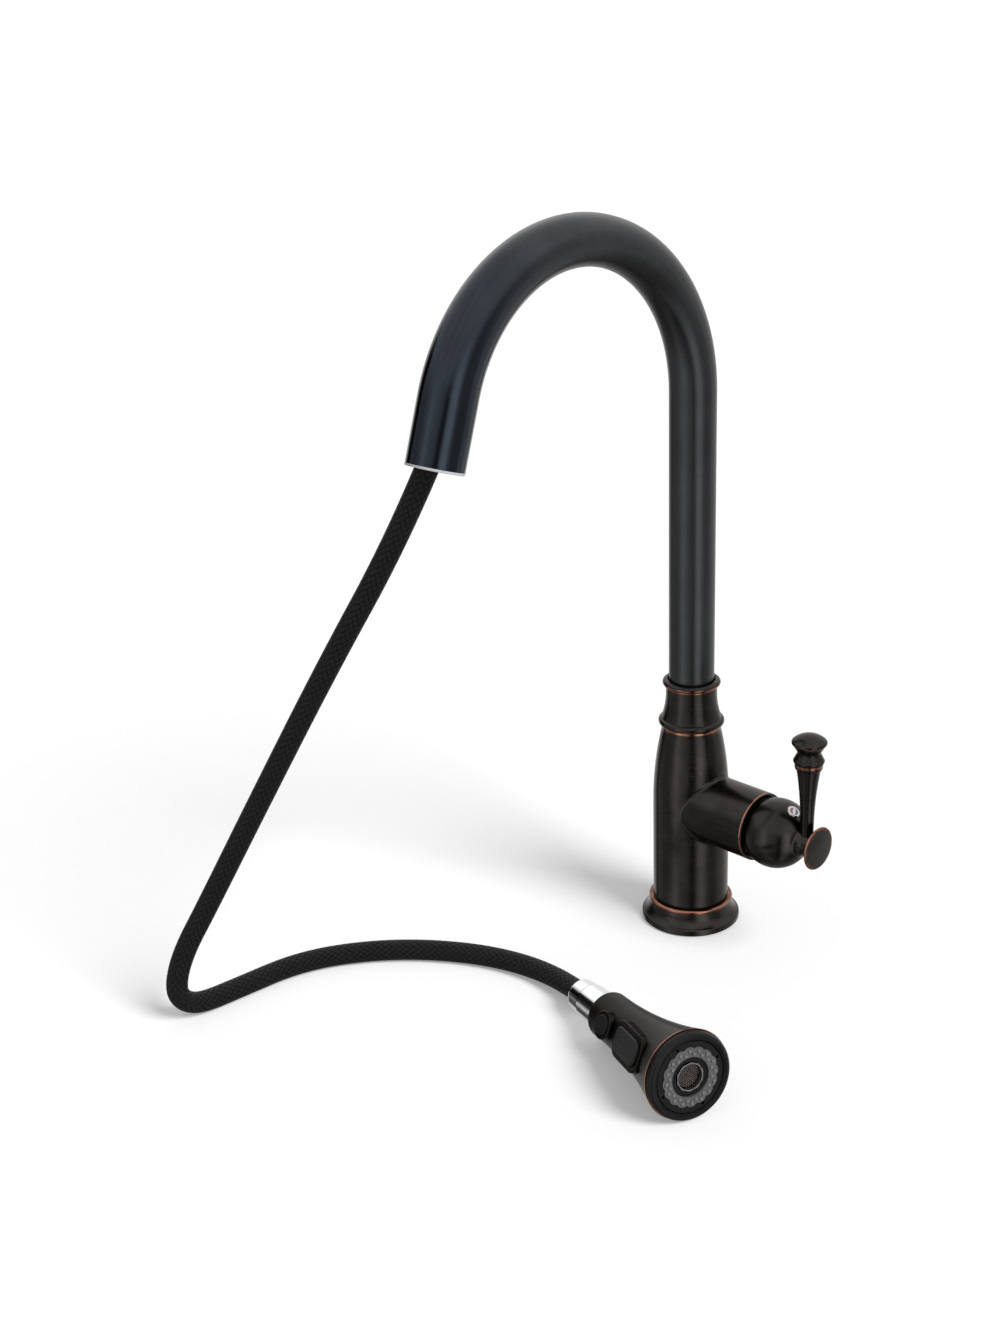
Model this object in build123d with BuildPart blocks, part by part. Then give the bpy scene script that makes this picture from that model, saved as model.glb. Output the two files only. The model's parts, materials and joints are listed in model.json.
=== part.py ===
from build123d import *
import os
from math import cos, radians, sin, sqrt, tan

# Pull-down kitchen faucet, in millimetres.
# Origin: centre of the base underside. +Z is up, the spout reaches to -Y, the handle arm to +X.

# Clearances
slip = 0.1
running_fit = 0.05
seat_gap = 0.3
pin_press = 0.02
cut_past = 1.0

# Spout tube
tube_radius = 13.2
tube_wall = 1.5
outlet_flare = 1.7
post_top = 324.4
bend_radius = 91.3
bend_sweep = 162.1
taper_start = 76.0
outlet_length = 35.4
guide_rim = 1.3
guide_wall = 1.2
guide_length = 14.0
guide_round = 0.4

# Base flange
flange_radius = 29.5
flange_height = 14.9
flange_lip = 3.0
flange_seat = 4.0
flange_bead = 1.3
flange_bead_start = -40.0
flange_bead_turn = 130.0
flange_step = 1.3
flange_step_rise = 1.6
flange_step_bulge = 0.35
flange_cove = 0.9
flange_chamfer = 0.8
foot_step = 2.0
gasket_width = 3.2
gasket_depth = 1.6

# Valve body
body_radius = 22.5
body_over_arm = 1.0
body_height = 124.0
body_top_step = 2.0
neck_wall = 1.6
neck_length = 6.0

# Shank socket and supply ports in the underside
shank_radius = 17.5
shank_depth = 12.0
port_radius = 4.45
port_spread = 50.0
port_depth = 13.0
hose_room = 1.4
grommet_length = 8.0
grommet_drop = 1.0

# Spout swivel seat
bearing_wall = 0.7
swivel_depth = 22.0
washer_thickness = 1.5
bearing_height = 3.5
bearing_low_inset = 1.0
bearing_high_inset = 0.5
seal_thickness = 2.0
lock_ring_height = 1.5
lock_ring_width = 2.2
lock_ring_bite = 0.6
lock_ring_opening = 5.0

# Collar
collar_height = 31.5
collar_bead_stand = 1.8
collar_bead_rise = 5.4
collar_bead = 2.3
collar_bead_turn = 75.0
collar_wall = 0.9
collar_waist_rise = 23.0
collar_rim_stand = 2.0
collar_rim = 2.0
collar_gap = 0.8

# Handle arm and cartridge
arm_height = 77.0
arm_step = 2.2
arm_length = 54.0
arm_edge = 1.0
arm_blend = 2.5
mouth_wall = 2.2
mouth_depth = 5.0
cartridge_reach = 28.0
arm_wall = 2.7
cartridge_base_thickness = 3.5
cartridge_length = 18.5
cartridge_wall = 2.0
cartridge_neck_radius = 11.0
cavity_wall = 2.8
rotor_radius = 8.5
rotor_flange_thickness = 3.0
rotor_flange_gap = 0.5
rotor_proud = 1.5
rotor_slot_gap = 0.2
rotor_slot_clear = 0.4
rotor_slot_step = 4.5
disc_thickness = 3.5
moving_disc_radius = 9.0
carrier_thickness = 2.5
carrier_wall = 1.0
carrier_play = 0.15
carrier_cup_floor = 0.7
carrier_cup_short = 0.5
disc_port_extra = 1.0
port_drop = 2.0
mixed_rise = 5.0
duct_radius = 2.8
port_seal_width = 1.2
port_seal_thickness = 1.0
nut_thickness = 5.0
nut_notch = 3.0

# Ball joint of the handle
ball_offset = 10.5
dome_wall = 1.8
dome_gap = 2.5
bonnet_gap = 0.5
bonnet_wall = 1.6
bonnet_front = 5.5
bonnet_neck_radius = 12.9
flow_tilt = 20.0
stem_width = 6.4
stem_height = 6.0
stem_reach = 11.0
stem_tail = 8.0
stem_length = 14.5
stem_ball = 2.0
stem_neck = 1.4
rotor_front = 3.5
pivot_pin_radius = 1.5
boss_radius = 6.5
boss_start = 7.5

# Lever, knob and finial
lever_offset = 21.0
lever_base_radius = 3.9
lever_top_radius = 6.8
lever_length = 41.0
lever_straight = 6.0
lever_seat = 5.6
lever_stud = 2.4
lever_stud_length = 6.5
handle_neck_radius = 7.0
handle_neck_past = 4.5
dome_blend = 6.0
knob_height = 21.0
knob_radius = 9.9
knob_bead_radius = 8.75
knob_waist = 6.7
knob_bead_share = 0.25
knob_waist_share = 0.48
knob_rim_share = 0.77
knob_bead_half = 1.1
knob_bead_depth = 0.5
knob_waist_half = 1.1
knob_waist_depth = 0.3
knob_rim_half = 1.4
knob_rim_depth = 0.7
knob_foot = 0.4
knob_foot_flare = 0.5
knob_foot_rise = 0.8
finial_radius = 12.6
finial_length = 5.0
finial_spigot = 2.0
finial_rim_depth = 0.5
finial_rim_drop = 1.4
finial_rim_half = 0.6
index_angle = 34.0
index_radius = 3.85
index_rise = 0.9
index_round = 0.7
index_stem_radius = 3.1
set_screw_radius = 2.0
set_screw_socket = 2.0

# Spray head, lying on the surface that the base stands on
head_yaw = -17.5
head_pitch = 7.1
head_x = 56.9
head_y = -133.5
button_roll = 24.0
head_length = 85.0
lip_length = 4.5
bell_radius = 24.2
face_inset = 0.6
head_neck_radius = 13.2
head_neck_length = 5.0
head_wall = 2.0
head_back = 8.0
head_round = 1.2
lip_share = 0.55
nipple_radius = 4.5
nipple_length = 15.0
nipple_flange = 6.3
nipple_flange_thickness = 2.0
water_bore = 3.0
dock_length = 32.5
dock_radius = 10.6
dock_split = 13.0
dock_thread = 8.4
dock_chamfer = 0.8
dock_chamfer_length = 0.6
dock_rim = 1.5
ferrule_nose = 3.8
ferrule_nose_step = 1.3
ferrule_floor = 2.0
core_radius = 9.0
core_flange_gap = 0.26
core_flange_length = 8.0
core_cone_start = 6.0
core_cone_gap = 5.0
core_cone_rise = 4.0
core_seal = 0.9
core_seal_inset = 2.4
core_channel_overlap = 2.0
check_valve_start = 7.0
check_valve_length = 9.0
screen_thickness = 0.8

# Pause button
pause_station = 20.0
pause_radius = 5.6
pause_bezel_radius = 7.7
pause_bezel_gap = 1.0
pause_bezel_lip = 3.0
pause_bezel_stand = 3.0
pause_stand = 0.7
pause_flange = 0.9
pause_flange_width = 0.9
pause_bezel_room = 1.2
pause_bezel_round = 0.8
pause_round = 0.9
plunger_radius = 2.0
spring_radius = 3.1
spring_wire = 0.25
spring_turns = 4
spring_seat = 8.2
spring_room = 1.0

# Spray mode rocker
button_gap = 4.2
rocker_front_gap = 16.9
rocker_width = 13.9
rocker_corner = 5.0
rocker_rise = 2.6
rocker_depth = 2.5
rocker_frame_width = 2.8
rocker_frame_rise = 1.4
rocker_frame_depth = 4.4
rocker_frame_round = 0.8
rocker_round = 1.2
rocker_pivot_depth = 1.2
rocker_pin_radius = 1.0
rocker_end_gap = 0.6
rocker_pin_inset = 1.0
spool_offset = 5.8
spool_radius = 2.55
spool_waist = 1.3
spool_length = 14.0
spool_travel = 2.0
spool_groove_gap = 0.2
tab_thickness = 3.0
tab_width = 4.0
tab_root_overlap = 0.5
tab_side_gap = 0.5

# Spray face
plate_step = 5.2
plate_drop = 1.0
plate_thickness = 4.0
face_step = 0.6
face_step_width = 0.6
face_step_edge = 0.3
face_cone = 0.4
face_cone_drop = 1.6
face_spigot_gap = 1.6
face_ledge = 3.0
face_seal_minor = 0.8
nozzle_flange_step = 1.0
nozzle_flange_thickness = 1.0
nozzle_count = 16
nozzle_tip_step = 2.9
nozzle_lobe = 4.0
nozzle_inner = 10.7
nozzle_rise = 0.4
nozzle_radius = 0.95
nozzle_height = 0.7
nozzle_taper = 20.0
outer_row_inset = 1.9
inner_row_inset = 1.7
aerator_radius = 7.8
aerator_sides = 10
aerator_recess = 1.6
screen_radius = 6.8
notch_radius = 0.9
notch_depth = 1.2
notch_step = 1.6

# Spray hose
hose_radius = 6.0
hose_foot = 14.0
hose_bend_short = 4.6
hose_drop_short = 2.4
hose_exit_length = 11.0
hose_lean = Vector(-0.345, -0.25, -0.905).normalized()
hose_first_run = 41.0
hose_end_run = 27.0
hose_bow_share = 0.9
hose_bend_share = 0.45

# Sizes that follow from the ones above
outlet_radius = tube_radius + outlet_flare
swivel_bore = tube_radius + bearing_wall
swivel_floor = body_height - swivel_depth
neck_radius = swivel_bore + neck_wall
body_top_radius = neck_radius + body_top_step
body_straight = arm_height + body_over_arm
foot_radius = body_radius - foot_step
hose_bore = hose_radius + hose_room
port_circle = (hose_bore + shank_radius) / 2
arm_radius = body_radius - arm_step
mouth_radius = arm_radius - mouth_wall
cartridge_bore = arm_radius - arm_wall
cartridge_radius = cartridge_bore - seat_gap
cartridge_seat = arm_length - cartridge_reach
cavity_radius = cartridge_radius - cavity_wall
ball_radius = arm_radius
bell_length = head_length - lip_length
face_radius = bell_radius - face_inset
plate_radius = bell_radius - plate_step
plate_front = head_length - plate_drop
plate_back = plate_front - plate_thickness
core_front = plate_back - nozzle_flange_thickness
lining_rise = bell_radius - head_neck_radius
lining_run = bell_length - head_back
lining_radius = (lining_run**2 + lining_rise**2) / (2 * lining_rise)
seal_station = core_front - face_ledge - face_seal_minor - slip
seal_run = seal_station - face_seal_minor - head_back
seal_wall = head_neck_radius - head_wall + lining_radius - sqrt(lining_radius**2 - seal_run**2)
core_flange = seal_wall - 2 * face_seal_minor - core_flange_gap
pause_rise = head_neck_radius + pause_bezel_stand
rocker_start = pause_station + pause_bezel_radius + button_gap
frame_length = head_length - rocker_front_gap - rocker_start
frame_width = rocker_width + 2 * seat_gap + 2 * rocker_frame_width
rocker_station = rocker_start + frame_length / 2
rocker_length = frame_length - 2 * rocker_end_gap - 2 * rocker_frame_width

# Section planes: local X is the radius, local Y runs along the axis of revolution
body_section = Plane.XZ
arm_section = Plane(origin=(0, 0, arm_height), x_dir=(0, 0, 1), z_dir=(0, 1, 0))
arm_axis = Axis((0, 0, arm_height), (1, 0, 0))
pivot_x = arm_length + ball_offset

head_axis = Vector(
    cos(radians(head_yaw)) * cos(radians(head_pitch)),
    sin(radians(head_yaw)) * cos(radians(head_pitch)),
    sin(radians(head_pitch)),
)
head_side = Vector(sin(radians(head_yaw)), -cos(radians(head_yaw)), 0)
head_top = head_side.cross(head_axis)
button_dir = head_side * cos(radians(button_roll)) + head_top * sin(radians(button_roll))
lip_round = lip_length * lip_share
head_z = bell_radius * cos(radians(head_pitch)) - bell_length * sin(radians(head_pitch))
head_origin = Vector(head_x, head_y, head_z)
head_section = Plane(origin=head_origin, x_dir=button_dir, z_dir=button_dir.cross(head_axis))
head_line = Axis(head_origin, head_axis)

os.makedirs("parts", exist_ok=True)


def save(piece, name):
    piece.part.label = name
    export_step(piece.part, f"parts/{name}.step")


def ring_profile(inner, outer, low, high, mode=Mode.ADD):
    with Locations(((inner + outer) / 2, (low + high) / 2)):
        Rectangle(outer - inner, high - low, mode=mode)


def across_arm(along):
    return Plane(origin=(along, 0, arm_height), x_dir=(0, 1, 0), z_dir=(1, 0, 0))


def across_head(station):
    return Plane(origin=head_origin + head_axis * station, x_dir=button_dir, z_dir=head_axis)


def under_button(station, depth):
    origin = head_origin + head_axis * station + button_dir * depth
    return Plane(origin=origin, x_dir=head_axis, z_dir=button_dir)


def chord(radius, offset):
    return sqrt(radius**2 - offset**2)


# Base flange: lip, cove and a rounded bead against the body
flange_bore = body_radius + slip
gasket_inner = (foot_radius + flange_radius - gasket_width) / 2
with BuildPart() as base_flange:
    with BuildSketch(body_section):
        with BuildLine():
            bead_centre = (flange_bore + flange_bead, flange_height - flange_bead)
            bead = CenterArc(bead_centre, flange_bead, flange_bead_start, flange_bead_turn)
            lip = SagittaArc(
                (flange_radius, flange_lip),
                (flange_radius - flange_step, flange_lip + flange_step_rise),
                -flange_step_bulge,
            )
            SagittaArc(lip @ 1, bead @ 0, flange_cove)
            Polyline(
                bead @ 1,
                (flange_bore, flange_height),
                (flange_bore, flange_seat),
                (foot_radius + slip, flange_seat),
                (foot_radius + slip, 0),
                (flange_radius - flange_chamfer, 0),
                (flange_radius, flange_chamfer),
                lip @ 0,
            )
        make_face()
        ring_profile(gasket_inner, gasket_inner + gasket_width, 0, gasket_depth, Mode.SUBTRACT)
    revolve(axis=Axis.Z)
save(base_flange, "base_flange")

with BuildPart() as base_gasket:
    with BuildSketch(body_section):
        ring_profile(gasket_inner + slip, gasket_inner + gasket_width - slip, 0, gasket_depth)
    revolve(axis=Axis.Z)
save(base_gasket, "base_gasket")

# Valve body: bottle-shaped casting with a side arm for the cartridge
neck_top = body_height + neck_length
seal_centre = tube_radius + running_fit + seal_thickness / 2
tube_foot = swivel_floor + washer_thickness
bearing_lows = [tube_foot + bearing_low_inset, neck_top - bearing_height - bearing_high_inset]
seal_height = (sum(bearing_lows) + bearing_height) / 2
port_y = port_circle * sin(radians(port_spread))
port_x = port_circle * cos(radians(port_spread))
ports = [(port_y, -port_drop), (-port_y, -port_drop), (0, mixed_rise)]
risers = [
    (port_x, port_y, -port_drop),
    (port_x, -port_y, -port_drop),
    (port_circle, 0, mixed_rise),
]
with BuildPart() as valve_body:
    with BuildSketch(body_section):
        with BuildLine():
            shoulder = TangentArc(
                (body_radius, body_straight), (body_top_radius, body_height), tangent=(0, 1)
            )
            Polyline(
                shoulder @ 1,
                (neck_radius, body_height),
                (neck_radius, neck_top),
                (0, neck_top),
                (0, 0),
                (foot_radius, 0),
                (foot_radius, flange_seat),
                (body_radius, flange_seat),
                shoulder @ 0,
            )
        make_face()
    revolve(axis=Axis.Z)
    with BuildSketch(across_arm(0)):
        Circle(arm_radius)
    extrude(amount=arm_length)
    crease = valve_body.edges(Select.LAST).filter_by(GeomType.CIRCLE, reverse=True)
    crease = crease.filter_by(GeomType.LINE, reverse=True)
    fillet(crease, arm_blend)
    fillet(valve_body.edges().group_by(Axis.X)[-1], arm_edge)
    with BuildSketch(body_section):
        ring_profile(0, shank_radius, 0, shank_depth)
        ring_profile(0, hose_bore, shank_depth, swivel_floor)
        ring_profile(0, swivel_bore, swivel_floor, neck_top)
        seal_room = seal_thickness / 2 + slip
        ring_profile(0, seal_centre + seal_room, seal_height - seal_room, seal_height + seal_room)
    revolve(axis=Axis.Z, mode=Mode.SUBTRACT)
    with BuildSketch(arm_section):
        ring_profile(0, cartridge_bore, cartridge_seat, arm_length)
        ring_profile(0, mouth_radius, arm_length - mouth_depth, arm_length)
    revolve(axis=arm_axis, mode=Mode.SUBTRACT)
    for riser_x, riser_y, rise in risers:
        with BuildSketch(Plane.XY.offset(shank_depth)):
            with Locations((riser_x, riser_y)):
                Circle(port_radius)
        extrude(amount=port_depth, mode=Mode.SUBTRACT)
        with BuildSketch(Plane.XY.offset(shank_depth)):
            with Locations((riser_x, riser_y)):
                Circle(duct_radius)
        extrude(amount=arm_height + rise + duct_radius - shank_depth, mode=Mode.SUBTRACT)
        with BuildSketch(across_arm(riser_x)):
            with Locations((riser_y, rise)):
                Circle(duct_radius)
        extrude(amount=cartridge_seat - riser_x, mode=Mode.SUBTRACT)
save(valve_body, "valve_body")

# Seat of the swivelling spout
lock_low = neck_top + slip
collar_shoulder = lock_low + lock_ring_height + seat_gap
with BuildPart() as thrust_washer:
    with BuildSketch(body_section):
        ring_profile(hose_bore, swivel_bore - slip, swivel_floor, tube_foot)
    revolve(axis=Axis.Z)
save(thrust_washer, "thrust_washer")

with BuildPart() as spout_bearings:
    with BuildSketch(body_section):
        for low in bearing_lows:
            ring_profile(tube_radius + running_fit, swivel_bore - running_fit, low, low + bearing_height)
    revolve(axis=Axis.Z)
save(spout_bearings, "spout_bearings")

with BuildPart() as spout_seal:
    with BuildSketch(body_section):
        with Locations((seal_centre, seal_height)):
            Circle(seal_thickness / 2)
    revolve(axis=Axis.Z)
save(spout_seal, "spout_seal")

# Collar: two beads with a waisted cove between them
collar_top = body_height + collar_height
collar_bore = tube_radius + collar_gap
collar_waist = collar_bore + collar_wall
collar_rim_radius = collar_waist + collar_rim_stand
collar_bead_radius = body_top_radius + collar_bead_stand
with BuildPart() as spout_collar:
    with BuildSketch(body_section):
        with BuildLine():
            lower = CenterArc(
                (collar_bead_radius - collar_bead, body_height + collar_bead_rise),
                collar_bead,
                -collar_bead_turn,
                2 * collar_bead_turn,
            )
            upper = CenterArc(
                (collar_rim_radius - collar_rim, collar_top - collar_rim), collar_rim, -90, 180
            )
            cove = TangentArc(
                (collar_waist, body_height + collar_waist_rise), lower @ 1, tangent=(0, -1)
            )
            Polyline(cove @ 0, (collar_waist, collar_top - 2 * collar_rim), upper @ 0)
            Polyline(
                upper @ 1,
                (collar_bore, collar_top),
                (collar_bore, collar_shoulder),
                (neck_radius + slip, collar_shoulder),
                (neck_radius + slip, body_height),
                (body_top_radius, body_height),
                lower @ 0,
            )
        make_face()
    revolve(axis=Axis.Z)
save(spout_collar, "spout_collar")

# Spout tube: post, bend that widens towards the outlet, short straight end
bend_centre = (0, -bend_radius, post_top)
bend_axis = Axis(bend_centre, (1, 0, 0))


def bend_plane(angle, height=0.0):
    turn = radians(angle)
    across = Vector(0, cos(turn), sin(turn))
    along = Vector(0, -sin(turn), cos(turn))
    origin = Vector(bend_centre) + across * bend_radius + along * height
    return Plane(origin=origin, x_dir=(1, 0, 0), z_dir=along)


def gooseneck(radius, end_radius, foot, end_length):
    with BuildPart() as rod:
        with BuildSketch(Plane.XY.offset(foot)):
            Circle(radius)
        extrude(amount=post_top - foot)
        with BuildSketch(bend_plane(0)):
            Circle(radius)
        revolve(axis=bend_axis, revolution_arc=taper_start)
        with BuildLine() as path:
            middle = (taper_start + bend_sweep) / 2
            ThreePointArc(
                bend_plane(taper_start).origin, bend_plane(middle).origin, bend_plane(bend_sweep).origin
            )
        with BuildSketch(bend_plane(taper_start)):
            Circle(radius)
        with BuildSketch(bend_plane(bend_sweep)):
            Circle(end_radius)
        sweep(path=path.line, multisection=True)
        with BuildSketch(bend_plane(bend_sweep)):
            Circle(end_radius)
        extrude(amount=end_length)
    return rod.part


with BuildPart() as spout_tube:
    tube_end = outlet_length - guide_rim
    add(gooseneck(tube_radius, outlet_radius, tube_foot, tube_end))
    tube_bore = gooseneck(tube_radius - tube_wall, outlet_radius - tube_wall, tube_foot, tube_end)
    add(tube_bore, mode=Mode.SUBTRACT)
    with BuildSketch(body_section):
        groove_floor = tube_radius - lock_ring_bite
        ring_profile(groove_floor, tube_radius + cut_past, lock_low, lock_low + lock_ring_height)
    revolve(axis=Axis.Z, mode=Mode.SUBTRACT)
save(spout_tube, "spout_tube")

with BuildPart() as spout_lock_ring:
    lock_inner = tube_radius - lock_ring_bite + running_fit
    with BuildSketch(Plane.XY.offset(lock_low)):
        Circle(lock_inner + lock_ring_width)
        Circle(lock_inner, mode=Mode.SUBTRACT)
        with Locations((-lock_inner, 0)):
            Rectangle(2 * (lock_ring_width + cut_past), lock_ring_opening, mode=Mode.SUBTRACT)
    extrude(amount=lock_ring_height)
save(spout_lock_ring, "spout_lock_ring")

with BuildPart() as outlet_guide:
    guide_outer = outlet_radius - tube_wall - slip
    guide_inner = guide_outer - guide_wall
    with BuildSketch(bend_plane(bend_sweep, tube_end)):
        Circle(outlet_radius)
        Circle(guide_inner, mode=Mode.SUBTRACT)
    extrude(amount=guide_rim)
    with BuildSketch(bend_plane(bend_sweep, tube_end)):
        Circle(guide_outer)
        Circle(guide_inner, mode=Mode.SUBTRACT)
    extrude(amount=-guide_length)
    fillet(outlet_guide.edges().filter_by(GeomType.CIRCLE).sort_by(Axis.Z)[:2], guide_round)
save(outlet_guide, "outlet_guide")

# Hose inside the spout, and the grommet that centres it in the body
with BuildPart() as hose_grommet:
    with BuildSketch(body_section):
        grommet_low = hose_foot - grommet_drop
        ring_profile(
            hose_radius + seat_gap, hose_bore - running_fit, grommet_low, grommet_low + grommet_length
        )
    revolve(axis=Axis.Z)
save(hose_grommet, "hose_grommet")

hose_bend_sweep = bend_sweep - hose_bend_short
hose_turn = bend_plane(hose_bend_sweep)
hose_bow = hose_turn.origin + hose_turn.z_dir * (outlet_length - hose_drop_short)
hose_exit = hose_bow + hose_lean * hose_exit_length
bow_turn = radians(hose_turn.z_dir.get_angle(hose_lean))
bow_radius = hose_bow_share * hose_exit_length / tan(bow_turn / 2)
with BuildPart() as hose_inner:
    with BuildLine() as inner_route:
        Line((0, 0, hose_foot), (0, 0, post_top))
        ThreePointArc((0, 0, post_top), bend_plane(hose_bend_sweep / 2).origin, hose_turn.origin)
        FilletPolyline(hose_turn.origin, hose_bow, hose_exit, radius=bow_radius)
    with BuildSketch(Plane.XY.offset(hose_foot)):
        Circle(hose_radius)
    sweep(path=inner_route.line)
save(hose_inner, "hose_inner")

# Free spray hose: from the outlet down to the surface, then round to the head
hose_end = head_origin - head_axis * dock_length
rest = hose_radius + running_fit
hose_points = [
    hose_exit,
    hose_exit + hose_lean * hose_first_run,
    Vector(-50.0, -225.3, 214.0),
    Vector(-87.0, -252.4, 131.0),
    Vector(-112.5, -271.0, 73.0),
    Vector(-124.5, -283.0, 43.0),
    Vector(-126.5, -289.0, 23.0),
    Vector(-127.7, -284.3, 11.8),
    Vector(-126.6, -273.8, rest),
    Vector(-124.8, -250.0, rest),
    Vector(-122.4, -209.0, rest),
    Vector(-105.5, -175.5, rest),
    Vector(-78.5, -146.5, rest),
    Vector(-41.0, -123.5, rest),
    hose_end - head_axis * hose_end_run,
    hose_end,
]
hose_runs = [b - a for a, b in zip(hose_points, hose_points[1:])]
hose_radii = []
for before, after in zip(hose_runs, hose_runs[1:]):
    half_turn = radians(before.get_angle(after)) / 2
    hose_radii.append(hose_bend_share * min(before.length, after.length) / tan(half_turn))
with BuildPart() as spray_hose:
    with BuildLine() as hose_route:
        FilletPolyline(*hose_points, radius=hose_radii)
    with BuildSketch(Plane(origin=hose_exit, z_dir=hose_runs[0])):
        Circle(hose_radius)
    sweep(path=hose_route.line)
save(spray_hose, "spray_hose")

# Ceramic cartridge in the arm
disc_low = cartridge_seat + cartridge_base_thickness
moving_low = disc_low + disc_thickness + running_fit
carrier_low = moving_low + disc_thickness
rotor_low = carrier_low + carrier_thickness + seat_gap
rotor_high = rotor_low + rotor_flange_thickness
cartridge_shoulder = cartridge_seat + cartridge_length
neck_bore = rotor_radius + slip
flow_stroke = stem_reach * radians(flow_tilt)
neck_reach = pivot_x + rotor_front - rotor_proud
with BuildPart() as cartridge_base:
    with BuildSketch(across_arm(cartridge_seat)):
        Circle(cartridge_radius)
        with Locations(*ports):
            Circle(duct_radius, mode=Mode.SUBTRACT)
    extrude(amount=cartridge_base_thickness)
    with BuildSketch(across_arm(cartridge_seat)):
        with Locations(*ports):
            Circle(duct_radius + port_seal_width + slip)
    extrude(amount=port_seal_thickness, mode=Mode.SUBTRACT)
save(cartridge_base, "cartridge_base")

with BuildPart() as cartridge_seals:
    with BuildSketch(across_arm(cartridge_seat)):
        with Locations(*ports):
            Circle(duct_radius + port_seal_width)
            Circle(duct_radius, mode=Mode.SUBTRACT)
    extrude(amount=port_seal_thickness)
save(cartridge_seals, "cartridge_seals")

with BuildPart() as cartridge_housing:
    with BuildSketch(arm_section):
        ring_profile(cavity_radius, cartridge_radius, disc_low, cartridge_shoulder)
        lid_low = cartridge_shoulder - cartridge_wall
        ring_profile(neck_bore, cartridge_radius, lid_low, cartridge_shoulder)
        ring_profile(neck_bore, cartridge_neck_radius, lid_low, neck_reach)
    revolve(axis=arm_axis)
save(cartridge_housing, "cartridge_housing")

with BuildPart() as fixed_disc:
    with BuildSketch(across_arm(disc_low)):
        Circle(cavity_radius - slip)
        with Locations(*ports):
            Circle(duct_radius, mode=Mode.SUBTRACT)
    extrude(amount=disc_thickness)
save(fixed_disc, "fixed_disc")

with BuildPart() as moving_disc:
    with BuildSketch(across_arm(moving_low)):
        with Locations((0, -flow_stroke / 2)):
            Circle(moving_disc_radius)
            Circle(duct_radius + disc_port_extra, mode=Mode.SUBTRACT)
    extrude(amount=disc_thickness)
save(moving_disc, "moving_disc")

ball_x = pivot_x - stem_reach
post_half = stem_ball + carrier_wall
post_end = ball_x + stem_ball - carrier_cup_short
cup_low = ball_x - stem_ball - carrier_cup_floor
with BuildPart() as disc_carrier:
    with BuildSketch(across_arm(carrier_low)):
        with Locations((0, -flow_stroke / 2)):
            Circle(moving_disc_radius)
    extrude(amount=carrier_thickness)
    with BuildSketch(across_arm(carrier_low + carrier_thickness)):
        Rectangle(2 * post_half, 2 * post_half)
    extrude(amount=post_end - carrier_low - carrier_thickness)
    with BuildSketch(across_arm(cup_low)):
        Rectangle(2 * (stem_ball + seat_gap), 2 * (stem_ball + carrier_play))
    extrude(amount=post_end - cup_low, mode=Mode.SUBTRACT)
save(disc_carrier, "disc_carrier")

slot_half = stem_width / 2 + rotor_slot_gap
slot_low = post_half + rotor_slot_clear
slot_high = flow_stroke + slot_low
slot_step = pivot_x - rotor_slot_step
tilt = radians(flow_tilt)
stem_room = rotor_slot_step * tan(tilt) + stem_height / 2 / cos(tilt) + rotor_slot_gap
with BuildPart() as cartridge_rotor:
    with BuildSketch(arm_section):
        ring_profile(0, cavity_radius - rotor_flange_gap, rotor_low, rotor_high)
        ring_profile(0, rotor_radius, rotor_high, pivot_x + rotor_front)
    revolve(axis=arm_axis)
    with BuildSketch(across_arm(rotor_low)):
        with Locations((0, (slot_high - slot_low) / 2)):
            Rectangle(2 * slot_half, slot_high + slot_low)
    extrude(amount=slot_step - rotor_low, mode=Mode.SUBTRACT)
    with BuildSketch(across_arm(slot_step)):
        Rectangle(2 * slot_half, 2 * stem_room)
    extrude(amount=pivot_x + rotor_front - slot_step, mode=Mode.SUBTRACT)
    with BuildSketch(Plane.XZ):
        with Locations((pivot_x, arm_height)):
            Circle(pivot_pin_radius)
    extrude(amount=rotor_radius + cut_past, both=True, mode=Mode.SUBTRACT)
save(cartridge_rotor, "cartridge_rotor")

with BuildPart() as stem_pin:
    with BuildSketch(Plane.XZ):
        with Locations((pivot_x, arm_height)):
            Circle(pivot_pin_radius - pin_press)
    extrude(amount=rotor_radius - seat_gap, both=True)
save(stem_pin, "stem_pin")

with BuildPart() as cartridge_stem:
    with BuildSketch(across_arm(pivot_x - stem_tail)):
        Rectangle(stem_width, stem_height)
    extrude(amount=stem_tail + stem_length)
    with BuildSketch(across_arm(ball_x)):
        Circle(stem_neck)
    extrude(amount=stem_reach - stem_tail)
    with Locations((ball_x, 0, arm_height)):
        Sphere(stem_ball)
    with BuildSketch(Plane.XZ):
        with Locations((pivot_x, arm_height)):
            Circle(pivot_pin_radius + running_fit)
    extrude(amount=stem_width, both=True, mode=Mode.SUBTRACT)
save(cartridge_stem, "cartridge_stem")

nut_front = cartridge_shoulder + nut_thickness
with BuildPart() as cartridge_nut:
    with BuildSketch(arm_section):
        nut_bore = cartridge_neck_radius + seat_gap
        ring_profile(nut_bore, cartridge_bore - slip, cartridge_shoulder, nut_front)
    revolve(axis=arm_axis)
    with BuildSketch(across_arm(nut_front)):
        with PolarLocations(cartridge_bore - nut_notch / 2, 4):
            Rectangle(nut_notch + cut_past, nut_notch)
    extrude(amount=-nut_notch, mode=Mode.SUBTRACT)
save(cartridge_nut, "cartridge_nut")

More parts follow.
